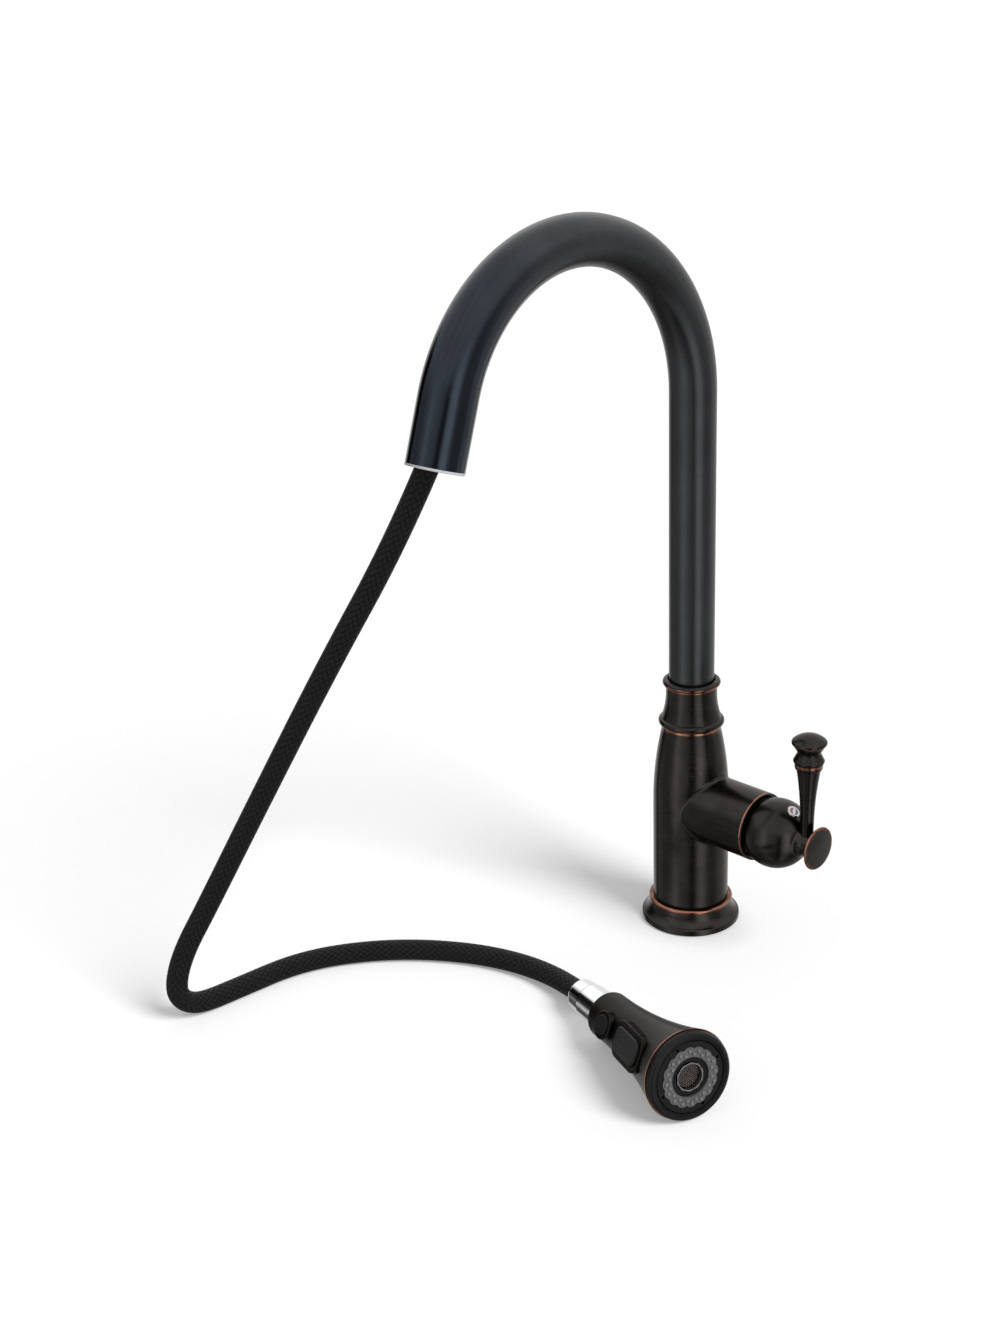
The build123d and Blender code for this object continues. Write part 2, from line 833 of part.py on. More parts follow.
bonnet_radius = ball_radius - dome_wall - bonnet_gap
bonnet_bore = bonnet_radius - bonnet_wall
bonnet_inner = cartridge_neck_radius + seat_gap
with BuildPart() as ball_bonnet:
    with BuildSketch(arm_section):
        with BuildLine():
            skin = ThreePointArc(
                (bonnet_neck_radius, pivot_x - chord(bonnet_radius, bonnet_neck_radius)),
                (bonnet_radius, pivot_x),
                (chord(bonnet_radius, bonnet_front), pivot_x + bonnet_front),
            )
            lining = ThreePointArc(
                (chord(bonnet_bore, bonnet_front), pivot_x + bonnet_front),
                (bonnet_bore, pivot_x),
                (bonnet_inner, pivot_x - chord(bonnet_bore, bonnet_inner)),
            )
            Line(skin @ 1, lining @ 0)
            Polyline(lining @ 1, (bonnet_inner, nut_front), (bonnet_neck_radius, nut_front), skin @ 0)
        make_face()
    revolve(axis=arm_axis)
save(ball_bonnet, "ball_bonnet")

# Handle dome: ball shell on the bonnet, with a boss for the stem and a neck for lever and finial
dome_bore = ball_radius - dome_wall
rim_offset = ball_offset - dome_gap
neck_start = pivot_x + chord(ball_radius, handle_neck_radius)
lever_x = pivot_x + lever_offset
neck_end = lever_x + handle_neck_past
lever_low = arm_height + lever_seat
screw_x = pivot_x + boss_start + stem_length / 4
index_dir = Vector(sin(radians(index_angle)), 0, cos(radians(index_angle)))
index_seat = chord(ball_radius, index_radius + slip)


def index_plane(distance):
    origin = Vector(pivot_x, 0, arm_height) + index_dir * distance
    return Plane(origin=origin, x_dir=(0, 1, 0), z_dir=index_dir)


with BuildPart() as handle_dome:
    with BuildSketch(arm_section):
        with BuildLine():
            skin = ThreePointArc(
                (chord(ball_radius, rim_offset), pivot_x - rim_offset),
                (ball_radius, pivot_x),
                (handle_neck_radius, neck_start),
            )
            lining = ThreePointArc(
                (boss_radius, pivot_x + chord(dome_bore, boss_radius)),
                (dome_bore, pivot_x),
                (chord(dome_bore, rim_offset), pivot_x - rim_offset),
            )
            Line(lining @ 1, skin @ 0)
            Polyline(
                skin @ 1,
                (handle_neck_radius, neck_end),
                (0, neck_end),
                (0, pivot_x + boss_start),
                (boss_radius, pivot_x + boss_start),
                lining @ 0,
            )
        make_face()
    revolve(axis=arm_axis)
    crease = handle_dome.edges().filter_by_position(Axis.X, neck_start - slip, neck_start + slip)
    fillet(crease, dome_blend)
    with BuildSketch(across_arm(pivot_x + boss_start)):
        Rectangle(stem_width + slip, stem_height + slip)
    extrude(amount=stem_length - boss_start + slip, mode=Mode.SUBTRACT)
    with BuildSketch(index_plane(index_seat)):
        Circle(index_radius + slip)
    extrude(amount=dome_wall, mode=Mode.SUBTRACT)
    with BuildSketch(index_plane(index_seat)):
        Circle(index_stem_radius + slip)
    extrude(amount=-2 * dome_wall, mode=Mode.SUBTRACT)
    with BuildSketch(Plane.XY.offset(arm_height)):
        with Locations((screw_x, 0)):
            Circle(set_screw_radius)
    extrude(amount=boss_radius + cut_past, mode=Mode.SUBTRACT)
    with BuildSketch(Plane.XY.offset(lever_low)):
        with Locations((lever_x, 0)):
            Circle(lever_base_radius + slip)
    extrude(amount=ball_radius, mode=Mode.SUBTRACT)
    with BuildSketch(Plane.XY.offset(lever_low)):
        with Locations((lever_x, 0)):
            Circle(lever_stud + slip)
    extrude(amount=-lever_stud_length - slip, mode=Mode.SUBTRACT)
    with BuildSketch(across_arm(neck_end)):
        Circle(lever_stud + slip)
    extrude(amount=-finial_spigot - slip, mode=Mode.SUBTRACT)
save(handle_dome, "handle_dome")

with BuildPart() as handle_set_screw:
    stem_top = arm_height + stem_height / 2
    with BuildSketch(Plane.XY.offset(stem_top)):
        with Locations((screw_x, 0)):
            Circle(set_screw_radius - running_fit)
    extrude(amount=boss_radius - stem_height / 2)
    with BuildSketch(Plane.XY.offset(arm_height + boss_radius)):
        with Locations((screw_x, 0)):
            RegularPolygon(set_screw_radius / 2, 6)
    extrude(amount=-set_screw_socket, mode=Mode.SUBTRACT)
save(handle_set_screw, "handle_set_screw")

with BuildPart() as index_plug:
    with BuildSketch(index_plane(index_seat)):
        Circle(index_radius)
    extrude(amount=ball_radius - index_seat + index_rise)
    fillet(index_plug.edges().sort_by(Axis(index_plane(0).origin, index_dir))[-1], index_round)
    with BuildSketch(index_plane(index_seat)):
        Circle(index_stem_radius)
    extrude(amount=-dome_wall)
save(index_plug, "index_plug")

lever_section = Plane(origin=(lever_x, 0, 0), x_dir=(1, 0, 0), z_dir=(0, -1, 0))
lever_axis = Axis((lever_x, 0, 0), (0, 0, 1))
lever_high = lever_low + lever_length
with BuildPart() as handle_lever:
    with BuildSketch(lever_section):
        with BuildLine():
            flare = TangentArc(
                (lever_base_radius, lever_low + lever_straight),
                (lever_top_radius, lever_high),
                tangent=(0, 1),
            )
            Polyline(
                flare @ 1,
                (lever_stud, lever_high),
                (lever_stud, lever_high + lever_stud_length),
                (0, lever_high + lever_stud_length),
                (0, lever_low - lever_stud_length),
                (lever_stud, lever_low - lever_stud_length),
                (lever_stud, lever_low),
                (lever_base_radius, lever_low),
                flare @ 0,
            )
        make_face()
    revolve(axis=lever_axis)
save(handle_lever, "handle_lever")


def bulge(middle, height, depth, half):
    return ThreePointArc(
        (middle - depth, height - half), (middle, height), (middle - depth, height + half)
    )


with BuildPart() as lever_knob:
    bead_z = lever_high + knob_height * knob_bead_share
    waist_z = lever_high + knob_height * knob_waist_share
    rim_z = lever_high + knob_height * knob_rim_share
    with BuildSketch(lever_section):
        with BuildLine():
            bead = bulge(knob_bead_radius, bead_z, knob_bead_depth, knob_bead_half)
            waist = bulge(knob_waist, waist_z, -knob_waist_depth, knob_waist_half)
            rim = bulge(knob_radius, rim_z, knob_rim_depth, knob_rim_half)
            Line(bead @ 1, waist @ 0)
            Line(waist @ 1, rim @ 0)
            crown = TangentArc((0, lever_high + knob_height), rim @ 1, tangent=(1, 0))
            Polyline(
                crown @ 0,
                (0, lever_high + lever_stud_length + slip),
                (lever_stud + slip, lever_high + lever_stud_length + slip),
                (lever_stud + slip, lever_high),
                (lever_top_radius + knob_foot, lever_high),
                (lever_top_radius + knob_foot + knob_foot_flare, lever_high + knob_foot_rise),
                bead @ 0,
            )
        make_face()
    revolve(axis=lever_axis)
save(lever_knob, "lever_knob")

with BuildPart() as handle_finial:
    finial_end = neck_end + finial_length
    with BuildSketch(arm_section):
        with BuildLine():
            edge = bulge(
                finial_radius, finial_end - finial_rim_drop, finial_rim_depth, finial_rim_half
            )
            horn = TangentArc((handle_neck_radius, neck_end), edge @ 0, tangent=(0, 1))
            crown = TangentArc((0, finial_end), edge @ 1, tangent=(1, 0))
            Polyline(
                crown @ 0,
                (0, neck_end - finial_spigot),
                (lever_stud, neck_end - finial_spigot),
                (lever_stud, neck_end),
                horn @ 0,
            )
        make_face()
    revolve(axis=arm_axis)
save(handle_finial, "handle_finial")

# Hose end: ferrule, swivel nipple and docking nut
dock_gap_station = dock_split - dock_length
nipple_low = ferrule_floor - dock_length
flange_station = head_back + seat_gap
nut_start = dock_gap_station + seat_gap
with BuildPart() as hose_ferrule:
    with BuildSketch(head_section):
        with BuildLine():
            nose = TangentArc(
                (dock_radius - ferrule_nose_step, ferrule_nose - dock_length),
                (hose_radius + seat_gap, -dock_length),
                tangent=(0, -1),
            )
            Polyline(
                nose @ 1,
                (water_bore, -dock_length),
                (water_bore, nipple_low),
                (nipple_radius + running_fit, nipple_low),
                (nipple_radius + running_fit, dock_gap_station),
                (dock_radius - dock_chamfer, dock_gap_station),
                nose @ 0,
            )
        make_face()
    revolve(axis=head_line)
save(hose_ferrule, "hose_ferrule")

with BuildPart() as swivel_nipple:
    with BuildSketch(head_section):
        ring_profile(water_bore, nipple_radius, nipple_low, nipple_length)
        ring_profile(
            water_bore, nipple_flange, flange_station, flange_station + nipple_flange_thickness
        )
    revolve(axis=head_line)
save(swivel_nipple, "swivel_nipple")

with BuildPart() as docking_nut:
    with BuildSketch(head_section):
        with BuildLine():
            Polyline(
                (nipple_radius + running_fit, nut_start),
                (dock_radius - dock_chamfer, nut_start),
                (dock_radius - dock_chamfer / 2, nut_start + dock_chamfer_length),
                (dock_radius, -dock_rim),
                (dock_radius, 0),
                (dock_thread, 0),
                (dock_thread, head_back),
                (nipple_radius + running_fit, head_back),
                close=True,
            )
        make_face()
    revolve(axis=head_line)
save(docking_nut, "docking_nut")

# Head shell: trumpet-shaped bell with seats for the buttons
bell_curve = TangentArc(
    (head_neck_radius, head_neck_length), (bell_radius, bell_length), tangent=(0, 1)
)
flare_radius = bell_curve.radius
rocker_reach = rocker_station - head_neck_length
rocker_slope = rocker_reach / flare_radius
rocker_seat = head_neck_radius + flare_radius - chord(flare_radius, rocker_reach)
rocker_normal = (button_dir * cos(rocker_slope) - head_axis * sin(rocker_slope)).normalized()
rocker_along = (head_axis * cos(rocker_slope) + button_dir * sin(rocker_slope)).normalized()
rocker_origin = head_origin + head_axis * rocker_station + button_dir * rocker_seat
frame_corner = rocker_corner + rocker_frame_width


def rocker_plane(rise):
    origin = rocker_origin + rocker_normal * rise
    return Plane(origin=origin, x_dir=rocker_along, z_dir=rocker_normal)


with BuildPart() as head_shell:
    with BuildSketch(head_section):
        with BuildLine():
            flare = TangentArc(
                (head_neck_radius, head_neck_length), (bell_radius, bell_length), tangent=(0, 1)
            )
            lining = TangentArc(
                (head_neck_radius - head_wall, head_back),
                (bell_radius - head_wall, bell_length),
                tangent=(0, 1),
            )
            heel = CenterArc((head_neck_radius - head_round, head_round), head_round, -90, 90)
            Line(heel @ 1, flare @ 0)
            Line(flare @ 1, lining @ 1)
            Polyline(lining @ 0, (dock_thread + slip, head_back), (dock_thread + slip, 0), heel @ 0)
        make_face()
    revolve(axis=head_line)
    with BuildSketch(under_button(pause_station, core_radius / 2)):
        Circle(pause_bezel_radius + slip)
    extrude(amount=2 * pause_rise, mode=Mode.SUBTRACT)
    with BuildSketch(rocker_plane(-2 * rocker_frame_depth)):
        RectangleRounded(frame_length + 2 * slip, frame_width + 2 * slip, frame_corner)
    extrude(amount=4 * rocker_frame_depth, mode=Mode.SUBTRACT)
save(head_shell, "head_shell")

# Waterway core: inlet, check valve bore, pause port, diverter bore and face flange
core_bore = nipple_radius + slip
chamber_end = flange_station + nipple_flange_thickness + seat_gap
core_seal_station = chamber_end + core_seal_inset
inlet_end = pause_station + check_valve_start + check_valve_length
rocker_pivot = rocker_origin - rocker_normal * rocker_pivot_depth
flange_back = core_front - core_flange_length
tab_station = rocker_station + rocker_pivot_depth * sin(rocker_slope)
with BuildPart() as waterway_core:
    with BuildSketch(head_section):
        with BuildLine():
            Polyline(
                (0, head_back),
                (core_radius, head_back),
                (core_radius, rocker_station - core_cone_start),
                (core_radius + core_cone_rise, flange_back - core_cone_gap),
                (core_flange, flange_back),
                (core_flange, core_front),
                (0, core_front),
                close=True,
            )
        make_face()
        ring_profile(0, nipple_flange + seat_gap, head_back, chamber_end, Mode.SUBTRACT)
        ring_profile(0, core_bore, chamber_end, inlet_end, Mode.SUBTRACT)
        seal_room = core_seal + slip
        seal_low = core_seal_station - seal_room
        seal_high = core_seal_station + seal_room
        ring_profile(0, core_bore + 2 * seal_room, seal_low, seal_high, Mode.SUBTRACT)
    revolve(axis=head_line)
    with BuildSketch(across_head(inlet_end - core_channel_overlap)):
        with Locations((-core_radius / 3, 0)):
            Circle(core_radius / 4)
    extrude(amount=core_front - inlet_end + core_channel_overlap, mode=Mode.SUBTRACT)
    with BuildSketch(under_button(pause_station, 0)):
        Circle(plunger_radius + slip)
    extrude(amount=core_radius + cut_past, mode=Mode.SUBTRACT)
    with BuildSketch(under_button(pause_station, spring_seat)):
        Circle(spring_radius + spring_room)
    extrude(amount=core_radius, mode=Mode.SUBTRACT)
    with BuildSketch(across_head(tab_station - spool_length / 2 - spool_travel)):
        with Locations((spool_offset, 0)):
            Circle(spool_radius + slip)
    extrude(amount=spool_length + 2 * spool_travel, mode=Mode.SUBTRACT)
    with BuildSketch(under_button(tab_station, spool_offset)):
        Rectangle(tab_thickness + 2 * spool_travel, tab_width + 2 * tab_side_gap)
    extrude(amount=core_radius, mode=Mode.SUBTRACT)
save(waterway_core, "waterway_core")

with BuildPart() as nipple_seal:
    with BuildSketch(head_section):
        with Locations((core_bore + core_seal, core_seal_station)):
            Circle(core_seal)
    revolve(axis=head_line)
save(nipple_seal, "nipple_seal")

with BuildPart() as inlet_screen:
    with BuildSketch(across_head(nipple_length + seat_gap)):
        Circle(core_bore - running_fit)
        with PolarLocations(core_bore / 2, 6):
            Circle(core_bore / 6, mode=Mode.SUBTRACT)
    extrude(amount=screen_thickness)
save(inlet_screen, "inlet_screen")

with BuildPart() as check_valve:
    with BuildSketch(across_head(inlet_end - check_valve_length)):
        Circle(core_bore - running_fit)
        Circle(core_bore / 2, mode=Mode.SUBTRACT)
    extrude(amount=check_valve_length)
    with BuildSketch(across_head(inlet_end - check_valve_length / 2)):
        Circle(core_bore / 2)
    extrude(amount=screen_thickness)
save(check_valve, "check_valve")

# Pause button with its bezel, plunger and spring
bezel_step = pause_rise - pause_bezel_lip
pause_bezel_seat = core_radius + pause_bezel_gap
flange_high = bezel_step - slip
flange_low = flange_high - pause_flange
with BuildPart() as pause_bezel:
    with BuildSketch(under_button(pause_station, pause_bezel_seat)):
        Circle(pause_bezel_radius)
    extrude(amount=pause_rise - pause_bezel_seat)
    fillet(pause_bezel.edges().sort_by(Axis(head_origin, button_dir))[-1], pause_bezel_round)
    with BuildSketch(under_button(pause_station, pause_bezel_seat)):
        Circle(pause_radius + pause_bezel_room)
    extrude(amount=bezel_step - pause_bezel_seat, mode=Mode.SUBTRACT)
    with BuildSketch(under_button(pause_station, bezel_step)):
        Circle(pause_radius + seat_gap)
    extrude(amount=pause_bezel_lip, mode=Mode.SUBTRACT)
save(pause_bezel, "pause_bezel")

with BuildPart() as pause_button:
    with BuildSketch(under_button(pause_station, flange_low)):
        Circle(pause_radius)
    extrude(amount=pause_rise + pause_stand - flange_low)
    fillet(pause_button.edges().sort_by(Axis(head_origin, button_dir))[-1], pause_round)
    with BuildSketch(under_button(pause_station, flange_low)):
        Circle(pause_radius + pause_flange_width)
    extrude(amount=pause_flange)
save(pause_button, "pause_button")

with BuildPart() as pause_plunger:
    with BuildSketch(under_button(pause_station, core_bore + seat_gap)):
        Circle(plunger_radius)
    extrude(amount=flange_low - core_bore - seat_gap)
save(pause_plunger, "pause_plunger")

with BuildPart() as pause_spring:
    coil_height = flange_low - spring_seat - 2 * spring_wire
    coil_plane = under_button(pause_station, spring_seat + spring_wire)
    with BuildLine() as coil:
        Helix(coil_height / spring_turns, coil_height, spring_radius, coil_plane.origin, button_dir)
    with BuildSketch(Plane(origin=coil.line @ 0, z_dir=coil.line % 0)):
        RegularPolygon(spring_wire, 6)
    sweep(path=coil.line, is_frenet=True)
save(pause_spring, "pause_spring")

# Spray mode rocker in its frame, with the diverter spool that it shifts
with BuildPart() as rocker_frame:
    with BuildSketch(rocker_plane(-rocker_frame_depth)):
        RectangleRounded(frame_length, frame_width, frame_corner)
    extrude(amount=rocker_frame_depth + rocker_frame_rise)
    frame_front = rocker_frame.faces().sort_by(Axis(rocker_origin, rocker_normal))[-1]
    fillet(frame_front.edges(), rocker_frame_round)
    with BuildSketch(rocker_plane(-rocker_frame_depth)):
        RectangleRounded(
            rocker_length + 2 * rocker_end_gap, rocker_width + 2 * seat_gap, rocker_corner + seat_gap
        )
    extrude(amount=rocker_frame_depth + rocker_frame_rise, mode=Mode.SUBTRACT)
    pin_dir = rocker_normal.cross(rocker_along)
    pin_plane = Plane(origin=rocker_pivot, x_dir=rocker_along, z_dir=pin_dir)
    pin_half = frame_width / 2 - rocker_pin_inset
    with BuildSketch(pin_plane):
        Circle(rocker_pin_radius)
    extrude(amount=pin_half, both=True, mode=Mode.SUBTRACT)
save(rocker_frame, "rocker_frame")

with BuildPart() as rocker_pin:
    with BuildSketch(pin_plane):
        Circle(rocker_pin_radius - pin_press)
    extrude(amount=pin_half - slip, both=True)
save(rocker_pin, "rocker_pin")

tab_tip = spool_offset + spool_waist + seat_gap
tab_root = rocker_seat - rocker_depth
with BuildPart() as mode_rocker:
    with BuildSketch(rocker_plane(-rocker_depth)):
        RectangleRounded(rocker_length, rocker_width, rocker_corner)
    extrude(amount=rocker_depth + rocker_rise)
    rocker_front = mode_rocker.faces().sort_by(Axis(rocker_origin, rocker_normal))[-1]
    fillet(rocker_front.edges(), rocker_round)
    with BuildSketch(under_button(tab_station, tab_tip)):
        Rectangle(tab_thickness, tab_width)
    extrude(amount=tab_root - tab_tip + tab_root_overlap)
    with BuildSketch(pin_plane):
        Circle(rocker_pin_radius + running_fit)
    extrude(amount=rocker_width, both=True, mode=Mode.SUBTRACT)
save(mode_rocker, "mode_rocker")

with BuildPart() as diverter_spool:
    with BuildSketch(across_head(tab_station - spool_length / 2)):
        with Locations((spool_offset, 0)):
            Circle(spool_radius)
    extrude(amount=spool_length)
    groove_half = tab_thickness / 2 + spool_groove_gap
    with BuildSketch(across_head(tab_station - groove_half)):
        with Locations((spool_offset, 0)):
            Circle(spool_radius + cut_past)
            Circle(spool_waist, mode=Mode.SUBTRACT)
    extrude(amount=2 * groove_half, mode=Mode.SUBTRACT)
save(diverter_spool, "diverter_spool")

# Spray face: bezel, plate, scalloped nozzle ring and aerator
bezel_bore = plate_radius + seat_gap
ledge_bore = core_flange + seat_gap
lip_low = head_length - lip_round
ridge_radius = bezel_bore + face_cone + face_step_width
with BuildPart() as face_bezel:
    spigot_radius = bell_radius - head_wall - face_spigot_gap
    with BuildSketch(head_section):
        with BuildLine():
            lip = CenterArc((face_radius - lip_round, lip_low), lip_round, 0, 90)
            Polyline(
                lip @ 1,
                (ridge_radius + face_step_edge, head_length),
                (ridge_radius, head_length - face_step),
                (ridge_radius - face_step_width, head_length - face_step),
                (bezel_bore, head_length - face_cone_drop),
                (bezel_bore, plate_back),
                (ledge_bore, plate_back),
                (ledge_bore, core_front - face_ledge),
                (spigot_radius, core_front - face_ledge),
                (spigot_radius, bell_length),
                (face_radius, bell_length),
                lip @ 0,
            )
        make_face()
    revolve(axis=head_line)
save(face_bezel, "face_bezel")

with BuildPart() as face_seal:
    with BuildSketch(head_section):
        seal_x = core_flange + face_seal_minor + running_fit
        with Locations((seal_x, seal_station)):
            Circle(face_seal_minor)
    revolve(axis=head_line)
save(face_seal, "face_seal")

nozzle_tip_radius = plate_radius - nozzle_tip_step


def scallop(growth):
    centre = nozzle_tip_radius - nozzle_lobe
    Circle(centre + growth)
    with PolarLocations(centre, nozzle_count):
        Circle(nozzle_lobe + growth)


with BuildPart() as spray_plate:
    with BuildSketch(across_head(plate_back)):
        Circle(plate_radius)
    extrude(amount=plate_thickness)
    with BuildSketch(across_head(plate_back)):
        scallop(slip)
    extrude(amount=plate_thickness, mode=Mode.SUBTRACT)
    with BuildSketch(across_head(plate_front)):
        with PolarLocations(plate_radius - notch_step, 4, start_angle=45):
            Circle(notch_radius)
    extrude(amount=-notch_depth, mode=Mode.SUBTRACT)
save(spray_plate, "spray_plate")

with BuildPart() as nozzle_ring:
    with BuildSketch(across_head(core_front)):
        Circle(core_flange - nozzle_flange_step)
    extrude(amount=nozzle_flange_thickness)
    with BuildSketch(across_head(plate_back)):
        scallop(0)
    extrude(amount=plate_thickness + nozzle_rise)
    with BuildSketch(across_head(core_front)):
        Circle(nozzle_inner)
    extrude(amount=head_length, mode=Mode.SUBTRACT)
    outer_row = nozzle_tip_radius - outer_row_inset
    inner_row = nozzle_inner + inner_row_inset
    for row, offset in ((outer_row, 0), (inner_row, 180 / nozzle_count)):
        with BuildSketch(across_head(plate_front + nozzle_rise)):
            with PolarLocations(row, nozzle_count, start_angle=offset):
                Circle(nozzle_radius)
        extrude(amount=nozzle_height, taper=nozzle_taper)
save(nozzle_ring, "nozzle_ring")

with BuildPart() as aerator_housing:
    with BuildSketch(head_section):
        housing_front = plate_front - aerator_recess / 2
        ring_profile(aerator_radius + slip, nozzle_inner - slip, core_front, housing_front)
    revolve(axis=head_line)
save(aerator_housing, "aerator_housing")

with BuildPart() as aerator_ring:
    with BuildSketch(across_head(core_front)):
        RegularPolygon(aerator_radius, aerator_sides)
        Circle(screen_radius + slip, mode=Mode.SUBTRACT)
    extrude(amount=plate_front - core_front)
save(aerator_ring, "aerator_ring")

with BuildPart() as aerator_screen:
    with BuildSketch(across_head(core_front)):
        Circle(screen_radius)
    extrude(amount=plate_front - core_front - aerator_recess / 2)
save(aerator_screen, "aerator_screen")
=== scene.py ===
import json
from math import cos, pi, radians, sin, sqrt, tau

import bpy
from mathutils import Matrix, Vector


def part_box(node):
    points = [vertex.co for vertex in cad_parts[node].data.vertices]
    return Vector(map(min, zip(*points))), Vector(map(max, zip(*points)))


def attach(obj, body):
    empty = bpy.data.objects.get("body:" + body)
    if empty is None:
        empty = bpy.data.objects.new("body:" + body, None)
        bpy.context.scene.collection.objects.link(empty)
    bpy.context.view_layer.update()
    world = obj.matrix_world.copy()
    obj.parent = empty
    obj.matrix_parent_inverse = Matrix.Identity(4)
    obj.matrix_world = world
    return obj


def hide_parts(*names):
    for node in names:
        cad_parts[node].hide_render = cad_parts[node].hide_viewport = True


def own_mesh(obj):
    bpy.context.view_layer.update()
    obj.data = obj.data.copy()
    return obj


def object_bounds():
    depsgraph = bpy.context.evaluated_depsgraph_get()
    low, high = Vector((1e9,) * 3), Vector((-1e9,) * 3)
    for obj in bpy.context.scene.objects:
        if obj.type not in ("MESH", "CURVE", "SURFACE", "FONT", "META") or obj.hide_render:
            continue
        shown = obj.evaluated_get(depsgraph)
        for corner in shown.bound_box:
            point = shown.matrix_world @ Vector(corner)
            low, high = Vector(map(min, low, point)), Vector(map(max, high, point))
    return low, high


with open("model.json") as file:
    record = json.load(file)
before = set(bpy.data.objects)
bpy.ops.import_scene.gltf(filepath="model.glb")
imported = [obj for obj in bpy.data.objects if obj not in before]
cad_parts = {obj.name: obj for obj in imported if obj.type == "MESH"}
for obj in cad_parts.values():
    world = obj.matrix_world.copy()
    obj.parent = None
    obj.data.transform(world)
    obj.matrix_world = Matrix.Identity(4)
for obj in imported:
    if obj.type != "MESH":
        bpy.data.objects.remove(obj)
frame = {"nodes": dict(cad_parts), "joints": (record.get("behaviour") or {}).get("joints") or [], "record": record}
cad_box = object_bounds()

bl_info = {
    "name": "Pull-down kitchen faucet",
    "version": (1, 0, 0),
    "blender": (4, 5, 0),
    "location": "3D View > Sidebar > Faucet",
    "description": "Dresses the packed faucet with its finishes, braided hose, aerator mesh and studio",
    "category": "Object",
}

joints = {joint["name"]: joint for joint in frame["joints"]}
head_axis = Vector(joints["head_swivel"]["axis"]).normalized()
head_origin = Vector(joints["head_swivel"]["pos_m"])
handle_centre = Vector(joints["handle_flow"]["pos_m"])
upright = Vector((0, 0, 1))
arm_line = Vector((1, 0, 0))
under_lever = Vector((0.0855, 0, 0))

# Where the bronze is rubbed to copper rings, along the axis of each piece
flange_ring = 0.0138
collar_rings = (0.1273, 0.1522)
arm_ring = 0.0532
knob_rings = (0.1266, 0.1386)
finial_ring = 0.0291
bell_ring = 0.0803

# Centreline of the gooseneck
bend_radius = 0.0913
bend_centre = Vector((0, -bend_radius, 0.3244))

# Route of the hose from the outlet down to the floor and back to the spray head
hose_route = [
    (-0.003794, -0.191028, 0.318899),
    (-0.017935, -0.201275, 0.281804),
    (-0.05, -0.2253, 0.214),
    (-0.087, -0.2524, 0.131),
    (-0.1125, -0.271, 0.073),
    (-0.1245, -0.283, 0.043),
    (-0.1265, -0.289, 0.023),
    (-0.1277, -0.2843, 0.0118),
    (-0.1266, -0.2738, 0.00605),
    (-0.1248, -0.25, 0.00605),
    (-0.1224, -0.209, 0.00605),
    (-0.1055, -0.1755, 0.00605),
    (-0.0785, -0.1465, 0.00605),
    (-0.041, -0.1235, 0.00605),
    (0.000589, -0.115745, 0.00671),
    (0.026142, -0.123802, 0.010047),
]

# Brightness that the lightest tone of the studio's ring of panels stands for
brightest_panel = 4.0

# Camera that sees the frame of the photo, 1000 by 1334
camera_place = Vector((0.61506, -0.71739, 0.52991))
camera_right = Vector((0.68675, 0.72604, -0.03525))
camera_up = Vector((-0.23970, 0.27199, 0.93197))
camera_back = Vector((0.68623, -0.63158, 0.36082))
camera_lens = 46.775


def colour(title, words, shade):
    """A colour to choose"""
    return bpy.props.FloatVectorProperty(
        name=title, description=words, default=shade, subtype="COLOR", size=3, min=0.0, max=1.0
    )


def length(title, words, size):
    """A length to choose, in metres"""
    return bpy.props.FloatProperty(
        name=title, description=words, default=size, min=0.0, subtype="DISTANCE", unit="LENGTH"
    )


def share(title, words, amount):
    """An amount to choose between none and all"""
    return bpy.props.FloatProperty(
        name=title, description=words, default=amount, min=0.0, max=1.0, subtype="FACTOR"
    )


def level(title, words, amount):
    """A strength to choose, with no upper end"""
    return bpy.props.FloatProperty(name=title, description=words, default=amount, min=0.0)


def angle(title, words, degrees):
    """An angle to choose"""
    return bpy.props.FloatProperty(
        name=title, description=words, default=radians(degrees), subtype="ANGLE"
    )


def number(title, words, amount, least):
    """A whole number to choose"""
    return bpy.props.IntProperty(name=title, description=words, default=amount, min=least)


